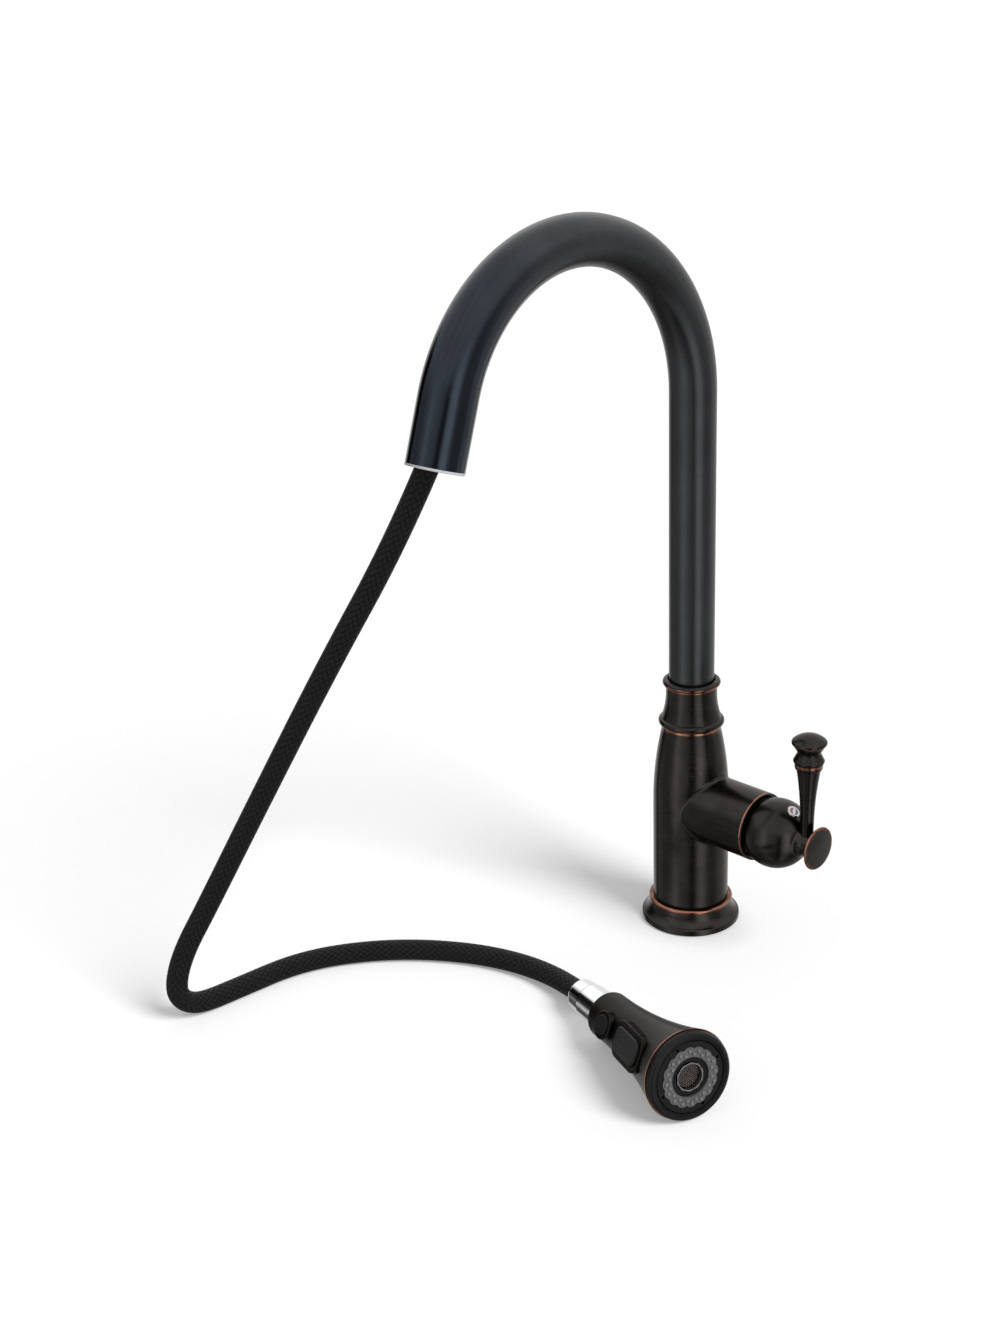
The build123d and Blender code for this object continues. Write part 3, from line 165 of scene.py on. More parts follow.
class FaucetFinishes(bpy.types.PropertyGroup):
    """Colours of the finishes"""

    bronze: colour("Bronze", "Oil-rubbed bronze of the body and handle", (0.0252, 0.0232, 0.0216))
    # The gooseneck's colour runs from the spout bronze at the post to the outlet tone, a painted shade that makes
    # it dimmer and bluer towards the outlet
    spout: colour("Spout bronze", "Cooler bronze of the gooseneck", (0.0395, 0.0405, 0.0420))
    outlet: colour("Outlet painted shade", "Bluer bronze towards the outlet", (0.0215, 0.0262, 0.0335))
    edge: colour("Edge sheen", "Sheen of the bronze where it is seen edge on", (0.85, 0.83, 0.82))
    copper: colour("Copper", "Copper that shows where the bronze is rubbed off", (0.27, 0.118, 0.078))
    bell: colour("Bell bronze", "Plated bell of the spray head", (0.0130, 0.0119, 0.0109))
    chrome: colour("Chrome", "Plated nut, ferrule and index plug", (0.80, 0.81, 0.83))
    black: colour("Black plastic", "Moulded spray face and inner parts", (0.0055, 0.0055, 0.0055))
    grip: colour("Soft black", "Soft-touch button and pad", (0.006, 0.0056, 0.0052))
    silicone: colour("Silicone", "Grey nozzle ring", (0.088, 0.088, 0.090))
    grey: colour("Grey plastic", "Outlet guide, bearings and washers", (0.46, 0.47, 0.49))
    rubber: colour("Seal rubber", "Gasket and rings", (0.015, 0.015, 0.015))
    brass: colour("Brass", "Machined inner brass", (0.62, 0.46, 0.22))
    steel: colour("Steel", "Brushed pins, springs and screens", (0.56, 0.55, 0.54))
    screen: colour("Screen wire", "Stained wire of the aerator's screen", (0.20, 0.17, 0.15))
    ceramic: colour("Ceramic", "Lapped discs", (0.80, 0.78, 0.73))
    braid: colour("Hose braid", "Nylon braid of the hose", (0.0029, 0.0029, 0.0028))
    hot: colour("Hot mark", "Enamel of the hot mark", (0.55, 0.012, 0.012))
    cold: colour("Cold mark", "Enamel of the cold mark", (0.015, 0.04, 0.17))
    wear: share("Wear", "How much copper shows in the handling scratches", 0.35)


class FaucetSizes(bpy.types.PropertyGroup):
    """Sizes of the pieces that are made here"""

    hose: length("Hose", "Diameter over the braid", 0.012)
    hose_sides: number("Hose sides", "Points round the hose", 36, 8)
    carriers: number("Carriers", "Braid strands each way round the hose", 12, 4)
    nozzle_tip: length("Nozzle tip", "Height of the paler tip of each nozzle", 0.0007)
    spring_wire: length("Spring wire", "Thickness of the button spring's wire", 0.0005)
    spring_turns: number("Spring turns", "Turns of the button's spring", 4, 1)
    wire: length("Screen wire", "Diameter of the aerator's wires", 0.00028)
    wire_pitch: length("Screen pitch", "Distance between the aerator's wires", 0.00085)
    mark_inner: length("Mark inside", "Inner radius of the hot and cold marks", 0.0009)
    mark_outer: length("Mark outside", "Outer radius of the hot and cold marks", 0.0025)
    mark_rise: length("Mark rise", "Height of the enamel over the plug", 0.00012)
    mark_sweep: angle("Mark sweep", "Angle that each mark covers", 160)


class FaucetStudio(bpy.types.PropertyGroup):
    """Floor and light"""

    floor: length("Floor", "Radius of the floor", 9.0)
    floor_tone: share("Floor tone", "Grey of the floor under the light", 0.76)
    floor_glow: share("Floor glow", "White that the floor shows by itself", 0.25)
    ambient: level("Ambient", "Light from all round", 0.38)
    canopy: level("Canopy", "Brightness of the soft canopy overhead", 1.45)
    sun: level("Key", "Strength of the key light", 2.95)
    sun_height: angle("Key height", "Elevation of the key light", 44)
    sun_size: angle("Key size", "Angle that the key light fills", 26)


def opaque(shade):
    """Colour with its alpha"""
    return (shade[0], shade[1], shade[2], 1.0)


def scaled(shade, amount):
    """Darker or lighter colour with its alpha"""
    return (shade[0] * amount, shade[1] * amount, shade[2] * amount, 1.0)


class NodeBench:
    """Places nodes in one tree and joins them"""

    def __init__(self, tree):
        self.tree = tree

    def place(self, kind, inputs=None, **settings):
        node = self.tree.nodes.new(kind)
        for name, value in settings.items():
            setattr(node, name, value)
        for name, value in (inputs or {}).items():
            self.join(value, node.inputs[name])
        return node

    def join(self, value, socket):
        if isinstance(value, bpy.types.NodeSocket):
            self.tree.links.new(value, socket)
        else:
            socket.default_value = value

    def math(self, operation, first, second=0.0, third=0.0):
        node = self.place("ShaderNodeMath", operation=operation)
        for value, socket in zip((first, second, third), node.inputs):
            self.join(value, socket)
        return node.outputs["Value"]

    def vector(self, operation, first, second=(0.0, 0.0, 0.0), scale=1.0):
        node = self.place("ShaderNodeVectorMath", operation=operation)
        self.join(first, node.inputs[0])
        if operation == "SCALE":
            self.join(scale, node.inputs["Scale"])
        else:
            self.join(second, node.inputs[1])
        return node.outputs["Value" if operation == "DOT_PRODUCT" else "Vector"]

    def spread(self, value, low, high, out_low=0.0, out_high=1.0, smooth=False):
        node = self.place(
            "ShaderNodeMapRange", interpolation_type="SMOOTHSTEP" if smooth else "LINEAR"
        )
        names = ("Value", "From Min", "From Max", "To Min", "To Max")
        for name, amount in zip(names, (value, low, high, out_low, out_high)):
            self.join(amount, node.inputs[name])
        return node.outputs["Result"]

    def noise(self, place, size, detail=2.0, rough=0.5):
        node = self.place(
            "ShaderNodeTexNoise",
            {"Vector": place, "Scale": size, "Detail": detail, "Roughness": rough},
        )
        return node.outputs["Fac"]

    def blend(self, amount, first, second):
        node = self.place("ShaderNodeMix", data_type="RGBA")
        self.join(amount, node.inputs["Factor"])
        self.join(first, node.inputs[6])
        self.join(second, node.inputs[7])
        return node.outputs[2]

    def mix(self, amount, first, second):
        node = self.place("ShaderNodeMix", {"Factor": amount}, data_type="FLOAT")
        self.join(first, node.inputs[2])
        self.join(second, node.inputs[3])
        return node.outputs[0]

    def group(self, name, **inputs):
        node = self.place("ShaderNodeGroup", node_tree=bpy.data.node_groups[name])
        for label, value in inputs.items():
            self.join(value, node.inputs[label])
        return node.outputs

    def bump(self, height, distance, strength):
        node = self.place(
            "ShaderNodeBump", {"Height": height, "Distance": distance, "Strength": strength}
        )
        return node.outputs["Normal"]


def new_group(name, inputs, outputs):
    """A node group with its sockets, and the bench to fill it"""
    tree = bpy.data.node_groups.new(name, "ShaderNodeTree")
    for label, kind, value in inputs:
        socket = tree.interface.new_socket(label, in_out="INPUT", socket_type=kind)
        socket.default_value = value
    for label in outputs:
        tree.interface.new_socket(label, in_out="OUTPUT", socket_type="NodeSocketFloat")
    bench = NodeBench(tree)
    given = bench.place("NodeGroupInput").outputs
    result = bench.place("NodeGroupOutput").inputs
    return bench, given, result


def make_along_group():
    """How far a point lies along the axis of a turned piece, in metres"""
    bench, given, result = new_group(
        "Along axis",
        [
            ("Origin", "NodeSocketVector", (0.0, 0.0, 0.0)),
            ("Axis", "NodeSocketVector", (0.0, 0.0, 1.0)),
        ],
        ["Along"],
    )
    place = bench.place("ShaderNodeTexCoord").outputs["Object"]
    local = bench.vector("SUBTRACT", place, given["Origin"])
    bench.join(bench.vector("DOT_PRODUCT", local, given["Axis"]), result["Along"])


def make_turned_group():
    """Fine lines round a turned piece, and soft clouds in its patina"""
    bench, given, result = new_group(
        "Turned grain",
        [
            ("Along", "NodeSocketFloat", 0.0),
            ("Fine", "NodeSocketFloat", 3500.0),
            ("Sweep", "NodeSocketFloat", 45.0),
            ("Cloud", "NodeSocketFloat", 70.0),
        ],
        ["Lines", "Cloud"],
    )
    place = bench.place("ShaderNodeTexCoord").outputs["Object"]
    swept = bench.vector("SCALE", place, scale=given["Sweep"])
    step = bench.math("MULTIPLY", given["Along"], given["Fine"])
    stepped = bench.place("ShaderNodeCombineXYZ", {"X": step}).outputs["Vector"]
    lines = bench.vector("ADD", swept, stepped)
    bench.join(bench.noise(lines, 1.0, 3.0, 0.65), result["Lines"])
    bench.join(bench.noise(place, given["Cloud"], 4.0, 0.6), result["Cloud"])


def make_band_group():
    """Ring where the patina is rubbed through, with an uneven edge"""
    bench, given, result = new_group(
        "Rubbed band",
        [
            ("Along", "NodeSocketFloat", 0.0),
            ("Middle", "NodeSocketFloat", 0.0),
            ("Reach", "NodeSocketFloat", 0.001),
            ("Breakup", "NodeSocketFloat", 0.5),
        ],
        ["Mask"],
    )
    place = bench.place("ShaderNodeTexCoord").outputs["Object"]
    patchy = bench.math("SUBTRACT", bench.noise(place, 230.0, 4.0, 0.65), 0.5)
    ragged = bench.math("MULTIPLY", bench.math("MULTIPLY", patchy, given["Breakup"]), given["Reach"])
    offset = bench.math("ABSOLUTE", bench.math("SUBTRACT", given["Along"], given["Middle"]))
    reached = bench.math("DIVIDE", bench.math("ADD", offset, ragged), given["Reach"])
    bench.join(bench.spread(reached, 0.45, 1.0, 1.0, 0.0, smooth=True), result["Mask"])


def make_scratch_group():
    """Sparse short handling scratches that cross each other"""
    bench, given, result = new_group(
        "Handling scratches",
        [("Amount", "NodeSocketFloat", 0.5)],
        ["Mask"],
    )
    place = bench.place("ShaderNodeTexCoord").outputs["Object"]
    layers = []
    for turn in ((0.3, 0.2, 0.0), (-0.5, 0.9, 0.4)):
        tilted = bench.place(
            "ShaderNodeMapping",
            {"Vector": place, "Rotation": turn, "Scale": (1500.0, 1500.0, 70.0)},
        ).outputs["Vector"]
        layers.append(bench.spread(bench.noise(tilted, 1.0, 1.0, 0.4), 0.70, 0.78))
    both = bench.math("MAXIMUM", layers[0], layers[1])
    patches = bench.spread(bench.noise(place, 55.0, 2.0, 0.5), 0.52, 0.68, smooth=True)
    sparse = bench.math("MULTIPLY", both, patches)
    bench.join(bench.math("MULTIPLY", sparse, given["Amount"]), result["Mask"])


def make_moulded_group():
    """Spark-eroded texture of a moulded piece, with faint flow marks"""
    bench, given, result = new_group(
        "Moulded speckle",
        [("Grain", "NodeSocketFloat", 2600.0), ("Flow", "NodeSocketFloat", 120.0)],
        ["Height", "Flow"],
    )
    place = bench.place("ShaderNodeTexCoord").outputs["Object"]
    bench.join(bench.noise(place, given["Grain"], 2.0, 0.55), result["Height"])
    bench.join(bench.noise(place, given["Flow"], 3.0, 0.5), result["Flow"])


def make_braid_group():
    """Over-and-under braid from the hose's own coordinates"""
    bench, given, result = new_group(
        "Braid",
        [("Carriers", "NodeSocketFloat", 12.0), ("Lay", "NodeSocketFloat", 0.72)],
        ["Height", "Thread"],
    )
    route = bench.place("ShaderNodeUVMap", uv_map="braid").outputs["UV"]
    split = bench.place("ShaderNodeSeparateXYZ", {"Vector": route}).outputs
    turn = bench.math("MULTIPLY", split["X"], given["Carriers"])
    run = bench.math("MULTIPLY", bench.math("MULTIPLY", split["Y"], given["Carriers"]), given["Lay"])
    strands = [bench.math("ADD", turn, run), bench.math("SUBTRACT", turn, run)]
    threads_per_strand = 5
    crowns = []
    threads = []
    for strand in strands:
        offset = bench.math("MULTIPLY_ADD", bench.math("FRACT", strand), 2.0, -1.0)
        crowns.append(bench.math("SUBTRACT", 1.0, bench.math("MULTIPLY", offset, offset)))
        ripple = bench.math("SINE", bench.math("MULTIPLY", strand, threads_per_strand * tau))
        threads.append(bench.math("MULTIPLY_ADD", ripple, 0.5, 0.5))
    cells = bench.math("ADD", bench.math("FLOOR", strands[0]), bench.math("FLOOR", strands[1]))
    weave = bench.math("FRACT", bench.math("MULTIPLY_ADD", cells, 0.25, 0.125))
    over = bench.math("GREATER_THAN", weave, 0.5)
    heights = []
    for top, along in ((0, 1), (1, 0)):
        humped = bench.math("MULTIPLY_ADD", crowns[along], 0.35, 0.65)
        heights.append(bench.math("MULTIPLY", bench.math("SQRT", crowns[top]), humped))
    bench.join(bench.mix(over, heights[0], heights[1]), result["Height"])
    bench.join(bench.mix(over, threads[0], threads[1]), result["Thread"])


def new_finish(name, **shader_values):
    """A material with its shader, and the bench to feed it"""
    material = bpy.data.materials.new(name)
    material.use_nodes = True
    bench = NodeBench(material.node_tree)
    shader = material.node_tree.nodes["Principled BSDF"]
    for label, value in shader_values.items():
        shader.inputs[label.replace("_", " ")].default_value = value
    return material, bench, shader.inputs


def strongest(bench, masks):
    """Greatest of several masks"""
    total = masks[0]
    for mask in masks[1:]:
        total = bench.math("MAXIMUM", total, mask)
    return total


def rubbed_bronze(name, finishes, origin, axis, bands, shade=None, rough=0.25, wear=1.0):
    """Dark turned bronze with copper rings, each from its (axis, middle, reach, breakup)"""
    shade = shade or finishes.bronze
    material, bench, shader = new_finish(name, Metallic=1.0, Specular_Tint=opaque(finishes.edge))
    along = bench.group("Along axis", Origin=origin, Axis=axis)["Along"]
    grain = bench.group("Turned grain", Along=along)
    patina = bench.blend(
        bench.spread(grain["Cloud"], 0.3, 0.7), scaled(shade, 0.72), scaled(shade, 1.3)
    )
    streaks = bench.spread(grain["Lines"], 0.4, 0.8, 0.0, 0.4)
    streaked = bench.blend(streaks, patina, scaled(shade, 1.6))
    masks = [bench.group("Handling scratches", Amount=finishes.wear * wear)["Mask"]]
    for ring_axis, middle, reach, breakup in bands:
        place = along
        if ring_axis != axis:
            place = bench.group("Along axis", Origin=origin, Axis=ring_axis)["Along"]
        masks.append(
            bench.group("Rubbed band", Along=place, Middle=middle, Reach=reach, Breakup=breakup)["Mask"]
        )
    rubbed = strongest(bench, masks)
    worn = bench.blend(grain["Lines"], scaled(finishes.copper, 0.75), scaled(finishes.copper, 1.15))
    bench.join(bench.blend(rubbed, streaked, worn), shader["Base Color"])
    satin = bench.spread(grain["Lines"], 0.25, 0.75, rough - 0.07, rough + 0.07)
    bench.join(bench.math("MULTIPLY_ADD", rubbed, -0.08, satin), shader["Roughness"])
    bench.join(bench.bump(grain["Lines"], 0.0001, 0.1), shader["Normal"])
    return material


def gooseneck_bronze(finishes):
    """Cooler satin bronze, glossier towards the outlet, with painted shade that makes it bluer and dimmer there"""
    material, bench, shader = new_finish("Gooseneck bronze", Metallic=1.0)
    place = bench.place("ShaderNodeTexCoord").outputs["Object"]
    local = bench.place(
        "ShaderNodeSeparateXYZ", {"Vector": bench.vector("SUBTRACT", place, bend_centre)}
    ).outputs
    turned = bench.math("MULTIPLY", bench.math("ARCTAN2", local["Z"], local["Y"]), bend_radius)
    on_post = bench.math(
        "MULTIPLY", bench.math("LESS_THAN", local["Z"], 0.0), bench.math("GREATER_THAN", local["Y"], 0.0)
    )
    swept = bench.math("MODULO", bench.math("ADD", turned, tau * bend_radius), tau * bend_radius)
    along = bench.mix(on_post, swept, local["Z"])
    squares = [bench.math("MULTIPLY", local[name], local[name]) for name in ("Y", "Z")]
    distance = bench.math("SQRT", bench.math("ADD", squares[0], squares[1]))
    outward = bench.math("SUBTRACT", distance, bend_radius)
    beside_post = bench.math("SUBTRACT", local["Y"], bend_radius)
    section = bench.mix(on_post, outward, beside_post)
    lines_across = 1300.0
    lines_along = 14.0
    brushed = bench.place("ShaderNodeCombineXYZ", {
        "X": bench.math("MULTIPLY", local["X"], lines_across),
        "Y": bench.math("MULTIPLY", section, lines_across),
        "Z": bench.math("MULTIPLY", along, lines_along),
    }).outputs["Vector"]
    lines = bench.noise(brushed, 1.0, 3.0, 0.6)
    cloud = bench.noise(place, 45.0, 4.0, 0.6)
    near_outlet = bench.spread(along, 0.13, 0.25, smooth=True)
    # Painted shade: the colour runs from the spout bronze to the dimmer, bluer outlet tone towards the outlet
    shade = bench.blend(near_outlet, opaque(finishes.spout), opaque(finishes.outlet))
    dark, light, bare = [bench.vector("SCALE", shade, scale=amount) for amount in (0.86, 1.14, 1.55)]
    patina = bench.blend(bench.spread(cloud, 0.3, 0.7), dark, light)
    streaked = bench.blend(bench.spread(lines, 0.4, 0.8, 0.0, 0.4), patina, bare)
    scratches = bench.group("Handling scratches", Amount=0.08)["Mask"]
    bench.join(bench.blend(scratches, streaked, scaled(finishes.steel, 0.5)), shader["Base Color"])
    polish = bench.math("MULTIPLY_ADD", near_outlet, -0.18, 0.34)
    uneven = bench.spread(lines, 0.25, 0.75, -0.04, 0.04)
    bench.join(bench.math("ADD", polish, uneven), shader["Roughness"])
    bench.join(bench.bump(lines, 0.00008, 0.08), shader["Normal"])
    return material


def bright_metal(name, shade, origin, axis, rough, lines):
    """Plated or machined metal with its turning lines and faint smears"""
    material, bench, shader = new_finish(name, Metallic=1.0)
    along = bench.group("Along axis", Origin=origin, Axis=axis)["Along"]
    grain = bench.group("Turned grain", Along=along, Fine=5200.0, Sweep=30.0, Cloud=110.0)
    clouded = bench.spread(grain["Cloud"], 0.3, 0.7)
    toned = bench.blend(clouded, scaled(shade, 0.92), scaled(shade, 1.04))
    bench.join(toned, shader["Base Color"])
    smeared = bench.spread(grain["Cloud"], 0.3, 0.75, rough * 0.7, rough * 1.7)
    bench.join(smeared, shader["Roughness"])
    bench.join(bench.bump(grain["Lines"], 0.00008, lines), shader["Normal"])
    return material


def moulded(name, shade, rough, depth, grain=2600.0, tone=0.25, tips=None, **shader_values):
    """Moulded plastic, rubber or ceramic, with paler tips from their (origin, axis, foot, top)"""
    shader_values.setdefault("Specular_IOR_Level", 0.14)
    material, bench, shader = new_finish(name, **shader_values)
    skin = bench.group("Moulded speckle", Grain=grain)
    pale = scaled(shade, 1.8)
    flow = bench.spread(skin["Flow"], 0.3, 0.7)
    toned = bench.blend(flow, scaled(shade, 1.0 - tone), scaled(shade, 1.0 + tone))
    speckled = bench.blend(bench.spread(skin["Height"], 0.55, 0.8, 0.0, 0.35), toned, pale)
    if tips:
        origin, axis, foot, top = tips
        along = bench.group("Along axis", Origin=origin, Axis=axis)["Along"]
        speckled = bench.blend(bench.spread(along, foot, top), speckled, pale)
    bench.join(speckled, shader["Base Color"])
    bench.join(bench.spread(skin["Height"], 0.25, 0.75, rough - 0.06, rough + 0.08), shader["Roughness"])
    bench.join(bench.bump(skin["Height"], 0.00015, depth), shader["Normal"])
    return material


def braided_nylon(finishes, sizes):
    """Black braid with a soft shine on the crown of each strand, painted into its colour, and painted shade in the
    black gaps between strands
    """
    shade = finishes.braid
    material, bench, shader = new_finish("Braided nylon", Specular_IOR_Level=0.13)
    weave = bench.group("Braid", Carriers=float(sizes.carriers))
    place = bench.place("ShaderNodeTexCoord").outputs["Object"]
    dusty = bench.noise(place, 160.0, 3.0, 0.6)
    crown = bench.spread(weave["Height"], 0.25, 0.95)
    # Painted sheen and painted shade: lighter colour on the strand crowns, black in the gaps between strands
    painted_sheen_and_shade = bench.blend(crown, opaque((0.0, 0.0, 0.0)), scaled(shade, 2.6))
    spun = bench.blend(bench.math("MULTIPLY", weave["Thread"], 0.3), painted_sheen_and_shade, scaled(shade, 3.6))
    faded = bench.spread(dusty, 0.5, 0.85, 0.0, 0.25)
    bench.join(bench.blend(faded, spun, scaled(shade, 2.0)), shader["Base Color"])
    bench.join(bench.spread(weave["Height"], 0.2, 1.0, 0.68, 0.42), shader["Roughness"])
    relief = bench.math("MULTIPLY_ADD", weave["Thread"], 0.12, weave["Height"])
    bench.join(bench.bump(relief, 0.0009, 1.0), shader["Normal"])
    return material


def enamel(name, shade):
    """Glossy enamel, a little uneven where it pooled"""
    material, bench, shader = new_finish(name, Coat_Weight=0.6, Coat_Roughness=0.08)
    place = bench.place("ShaderNodeTexCoord").outputs["Object"]
    pooled = bench.noise(place, 1400.0, 2.0, 0.5)
    bench.join(bench.blend(pooled, scaled(shade, 0.8), scaled(shade, 1.2)), shader["Base Color"])
    bench.join(bench.spread(pooled, 0.3, 0.7, 0.25, 0.4), shader["Roughness"])
    bench.join(bench.bump(pooled, 0.00005, 0.2), shader["Normal"])
    return material


def dress(node, material):
    """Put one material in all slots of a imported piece"""
    body = frame["nodes"][node]
    if not body.material_slots:
        body.data.materials.append(material)
    for slot in body.material_slots:
        slot.material = material


def reach_along(node, origin, axis):
    """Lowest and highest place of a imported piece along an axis"""
    places = [(point.co - origin).dot(axis) for point in frame["nodes"][node].data.vertices]
    return min(places), max(places)


def across(axis):
    """Two directions square to an axis"""
    first = axis.orthogonal().normalized()
    return first, axis.cross(first).normalized()


def new_piece(name, points, faces, material, sharp=40):
    """A mesh piece, smooth but for edges over the sharp angle in degrees"""
    mesh = bpy.data.meshes.new(name)
    mesh.from_pydata([tuple(point) for point in points], [], faces)
    mesh.validate()
    mesh.shade_smooth()
    mesh.set_sharp_from_angle(angle=radians(sharp))
    mesh.materials.append(material)
    piece = bpy.data.objects.new(name, mesh)
    bpy.context.scene.collection.objects.link(piece)
    return piece


def rings_along(route, radius, sides):
    """Rings of points round a route, without twist from one to the next"""
    rings = []
    normal = None
    for place, point in enumerate(route):
        before = route[max(place - 1, 0)]
        after = route[min(place + 1, len(route) - 1)]
        ahead = (after - before).normalized()
        if normal is None:
            normal = ahead.orthogonal()
        normal = (normal - ahead * normal.dot(ahead)).normalized()
        side = ahead.cross(normal)
        turns = [tau * step / sides for step in range(sides)]
        rings.append([point + radius * (normal * cos(turn) + side * sin(turn)) for turn in turns])
    return rings


def skin_faces(count, sides, first=0):
    """Quads between rings that follow each other, and the two end caps"""
    faces = []
    for ring in range(count - 1):
        low = first + ring * sides
        for step in range(sides):
            beside = (step + 1) % sides
            faces.append((low + step, low + beside, low + sides + beside, low + sides + step))
    last = first + (count - 1) * sides
    faces.append(tuple(range(first + sides - 1, first - 1, -1)))
    faces.append(tuple(range(last, last + sides)))
    return faces


def smooth_route(points):
    """Points of the smooth spline that has the given points as its control points"""
    curve = bpy.data.curves.new("hose_line", "CURVE")
    curve.dimensions = "3D"
    spline = curve.splines.new("NURBS")
    spline.points.add(len(points) - 1)
    for knot, point in zip(spline.points, points):
        knot.co = (*point, 1.0)
    spline.order_u = 3
    spline.use_endpoint_u = True
    spline.resolution_u = 16
    holder = bpy.data.objects.new("hose_line", curve)
    bpy.context.scene.collection.objects.link(holder)
    bpy.context.view_layer.update()
    line = bpy.data.meshes.new_from_object(holder)
    route = [point.co.copy() for point in line.vertices]
    bpy.data.objects.remove(holder)
    bpy.data.curves.remove(curve)
    bpy.data.meshes.remove(line)
    return route


class FAUCET_OT_stage(bpy.types.Operator):
    """Set up the camera, the white floor and the studio light"""

    bl_idname = "faucet.stage"
    bl_label = "Camera, floor and light"

    def execute(self, context):
        studio = context.scene.faucet_studio
        self.add_camera(context)
        self.add_floor(context, studio)
        self.add_key(context, studio)
        self.add_surround(context, studio)
        context.scene.view_settings.view_transform = "Standard"
        return {"FINISHED"}

    def add_camera(self, context):
        lens = bpy.data.cameras.new("photo_camera")
        lens.sensor_width = 36.0
        lens.lens = camera_lens
        lens.clip_start = 0.01
        lens.clip_end = 50.0
        camera = bpy.data.objects.new("photo_camera", lens)
        turn = Matrix((camera_right, camera_up, camera_back)).transposed()
        camera.matrix_world = Matrix.Translation(camera_place) @ turn.to_4x4()
        context.scene.collection.objects.link(camera)
        context.scene.camera = camera

    def add_floor(self, context, studio):
        sides = 96
        height = cad_box[0].z - 0.0002
        rim = [
            (studio.floor * cos(tau * step / sides), studio.floor * sin(tau * step / sides), height)
            for step in range(sides)
        ]
        material = bpy.data.materials.new("White floor")
        material.use_nodes = True
        tree = material.node_tree
        tree.nodes.clear()
        bench = NodeBench(tree)
        seen = bench.place("ShaderNodeLightPath").outputs
        direct = bench.math("MAXIMUM", seen["Is Camera Ray"], seen["Is Glossy Ray"])
        direct = bench.math("MAXIMUM", direct, seen["Is Transmission Ray"])
        tone = studio.floor_tone
        paper = bench.place("ShaderNodeBsdfDiffuse", {"Color": (tone, tone, tone, 1.0)})
        glow = bench.place(
            "ShaderNodeEmission", {"Strength": bench.math("MULTIPLY", direct, studio.floor_glow)}
        )
        both = bench.place("ShaderNodeAddShader")
        bench.join(paper.outputs["BSDF"], both.inputs[0])
        bench.join(glow.outputs["Emission"], both.inputs[1])
        sink = bench.place("ShaderNodeOutputMaterial")
        bench.join(both.outputs["Shader"], sink.inputs["Surface"])
        floor = new_piece("studio_floor", rim, [tuple(range(sides))], material)
        floor.visible_glossy = False

    def add_key(self, context, studio):
        lamp = bpy.data.lights.new("key_light", "SUN")
        lamp.energy = studio.sun
        lamp.angle = studio.sun_size
        key = bpy.data.objects.new("key_light", lamp)
        toward = Vector((cos(studio.sun_height), 0.05, sin(studio.sun_height)))
        key.rotation_mode = "QUATERNION"
        key.rotation_quaternion = toward.to_track_quat("Z", "Y")
        key.visible_glossy = False
        context.scene.collection.objects.link(key)

    def add_surround(self, context, studio):
        world = bpy.data.worlds.new("Studio surround")
        context.scene.world = world
        world.use_nodes = True
        tree = world.node_tree
        tree.nodes.clear()
        bench = NodeBench(tree)
        ray = bench.place("ShaderNodeTexCoord").outputs["Generated"]
        aim = bench.place("ShaderNodeSeparateXYZ", {"Vector": ray}).outputs
        front = Vector((camera_back.x, camera_back.y)).normalized()
        ahead = bench.vector("DOT_PRODUCT", ray, (front.x, front.y, 0.0))
        beside = bench.vector("DOT_PRODUCT", ray, (-front.y, front.x, 0.0))
        turn = bench.math("ARCTAN2", beside, ahead)
        ramp = bench.place("ShaderNodeValToRGB", {"Fac": bench.spread(turn, -pi, pi)})
        self.fill_panels(ramp.color_ramp)
        ring = bench.math("MULTIPLY", ramp.outputs["Color"], brightest_panel)
        overhead = bench.spread(aim["Z"], 0.12, 0.5, smooth=True)
        shaded = bench.spread(aim["Z"], -0.8, -0.42, 0.4, 1.0, smooth=True)
        panels = bench.math("MULTIPLY", bench.mix(overhead, ring, studio.canopy), shaded)
        panels = bench.math("MULTIPLY", panels, self.flag(bench, turn, aim["Z"]))
        seen = bench.place("ShaderNodeLightPath").outputs
        direct = bench.math("MAXIMUM", seen["Is Camera Ray"], seen["Is Transmission Ray"])
        around = bench.mix(seen["Is Glossy Ray"], studio.ambient, panels)
        shown = bench.mix(direct, around, 1.0)
        sky = bench.place("ShaderNodeBackground", {"Color": (1.0, 1.0, 1.0, 1.0), "Strength": shown})
        sink = bench.place("ShaderNodeOutputWorld")
        bench.join(sky.outputs["Background"], sink.inputs["Surface"])

    def flag(self, bench, turn, height):
        """A tall black flag at the left, which the chrome nut shows as its dark band"""
        left = bench.spread(turn, radians(-137), radians(-132))
        right = bench.spread(turn, radians(-116), radians(-111), 1.0, 0.0)
        foot = bench.spread(height, -0.3, -0.15)
        top = bench.spread(height, 0.3, 0.38, 1.0, 0.0)
        wide = bench.math("MULTIPLY", left, right)
        tall = bench.math("MULTIPLY", foot, top)
        return bench.math("MULTIPLY_ADD", bench.math("MULTIPLY", wide, tall), -0.97, 1.0)

    def fill_panels(self, ramp):
        """Light and dark panels round the studio, from their bearing off the camera and brightness"""
        panels = [
            (-180, 0.9), (-146, 0.95), (-138, 0.08), (-127, 0.08), (-119, 0.8), (-104, 0.55),
            (-88, 0.55), (-70, 0.9), (-55, 2.1), (-38, 1.1), (-14, 0.7), (-7, 0.06), (5, 0.06),
            (12, 1.6), (20, 2.4), (31, 2.4), (42, 0.9), (54, 0.5), (70, 0.5), (85, 1.0),
            (120, 1.0), (180, 0.9),
        ]
        ramp.interpolation = "EASE"
        for stop in range(len(panels) - 2):
            ramp.elements.new(0.5)
        for element, (bearing, strength) in zip(ramp.elements, panels):
            element.position = (bearing + 180) / 360
        for element, (bearing, strength) in zip(ramp.elements, panels):
            element.color = scaled((1.0, 1.0, 1.0), strength / brightest_panel)


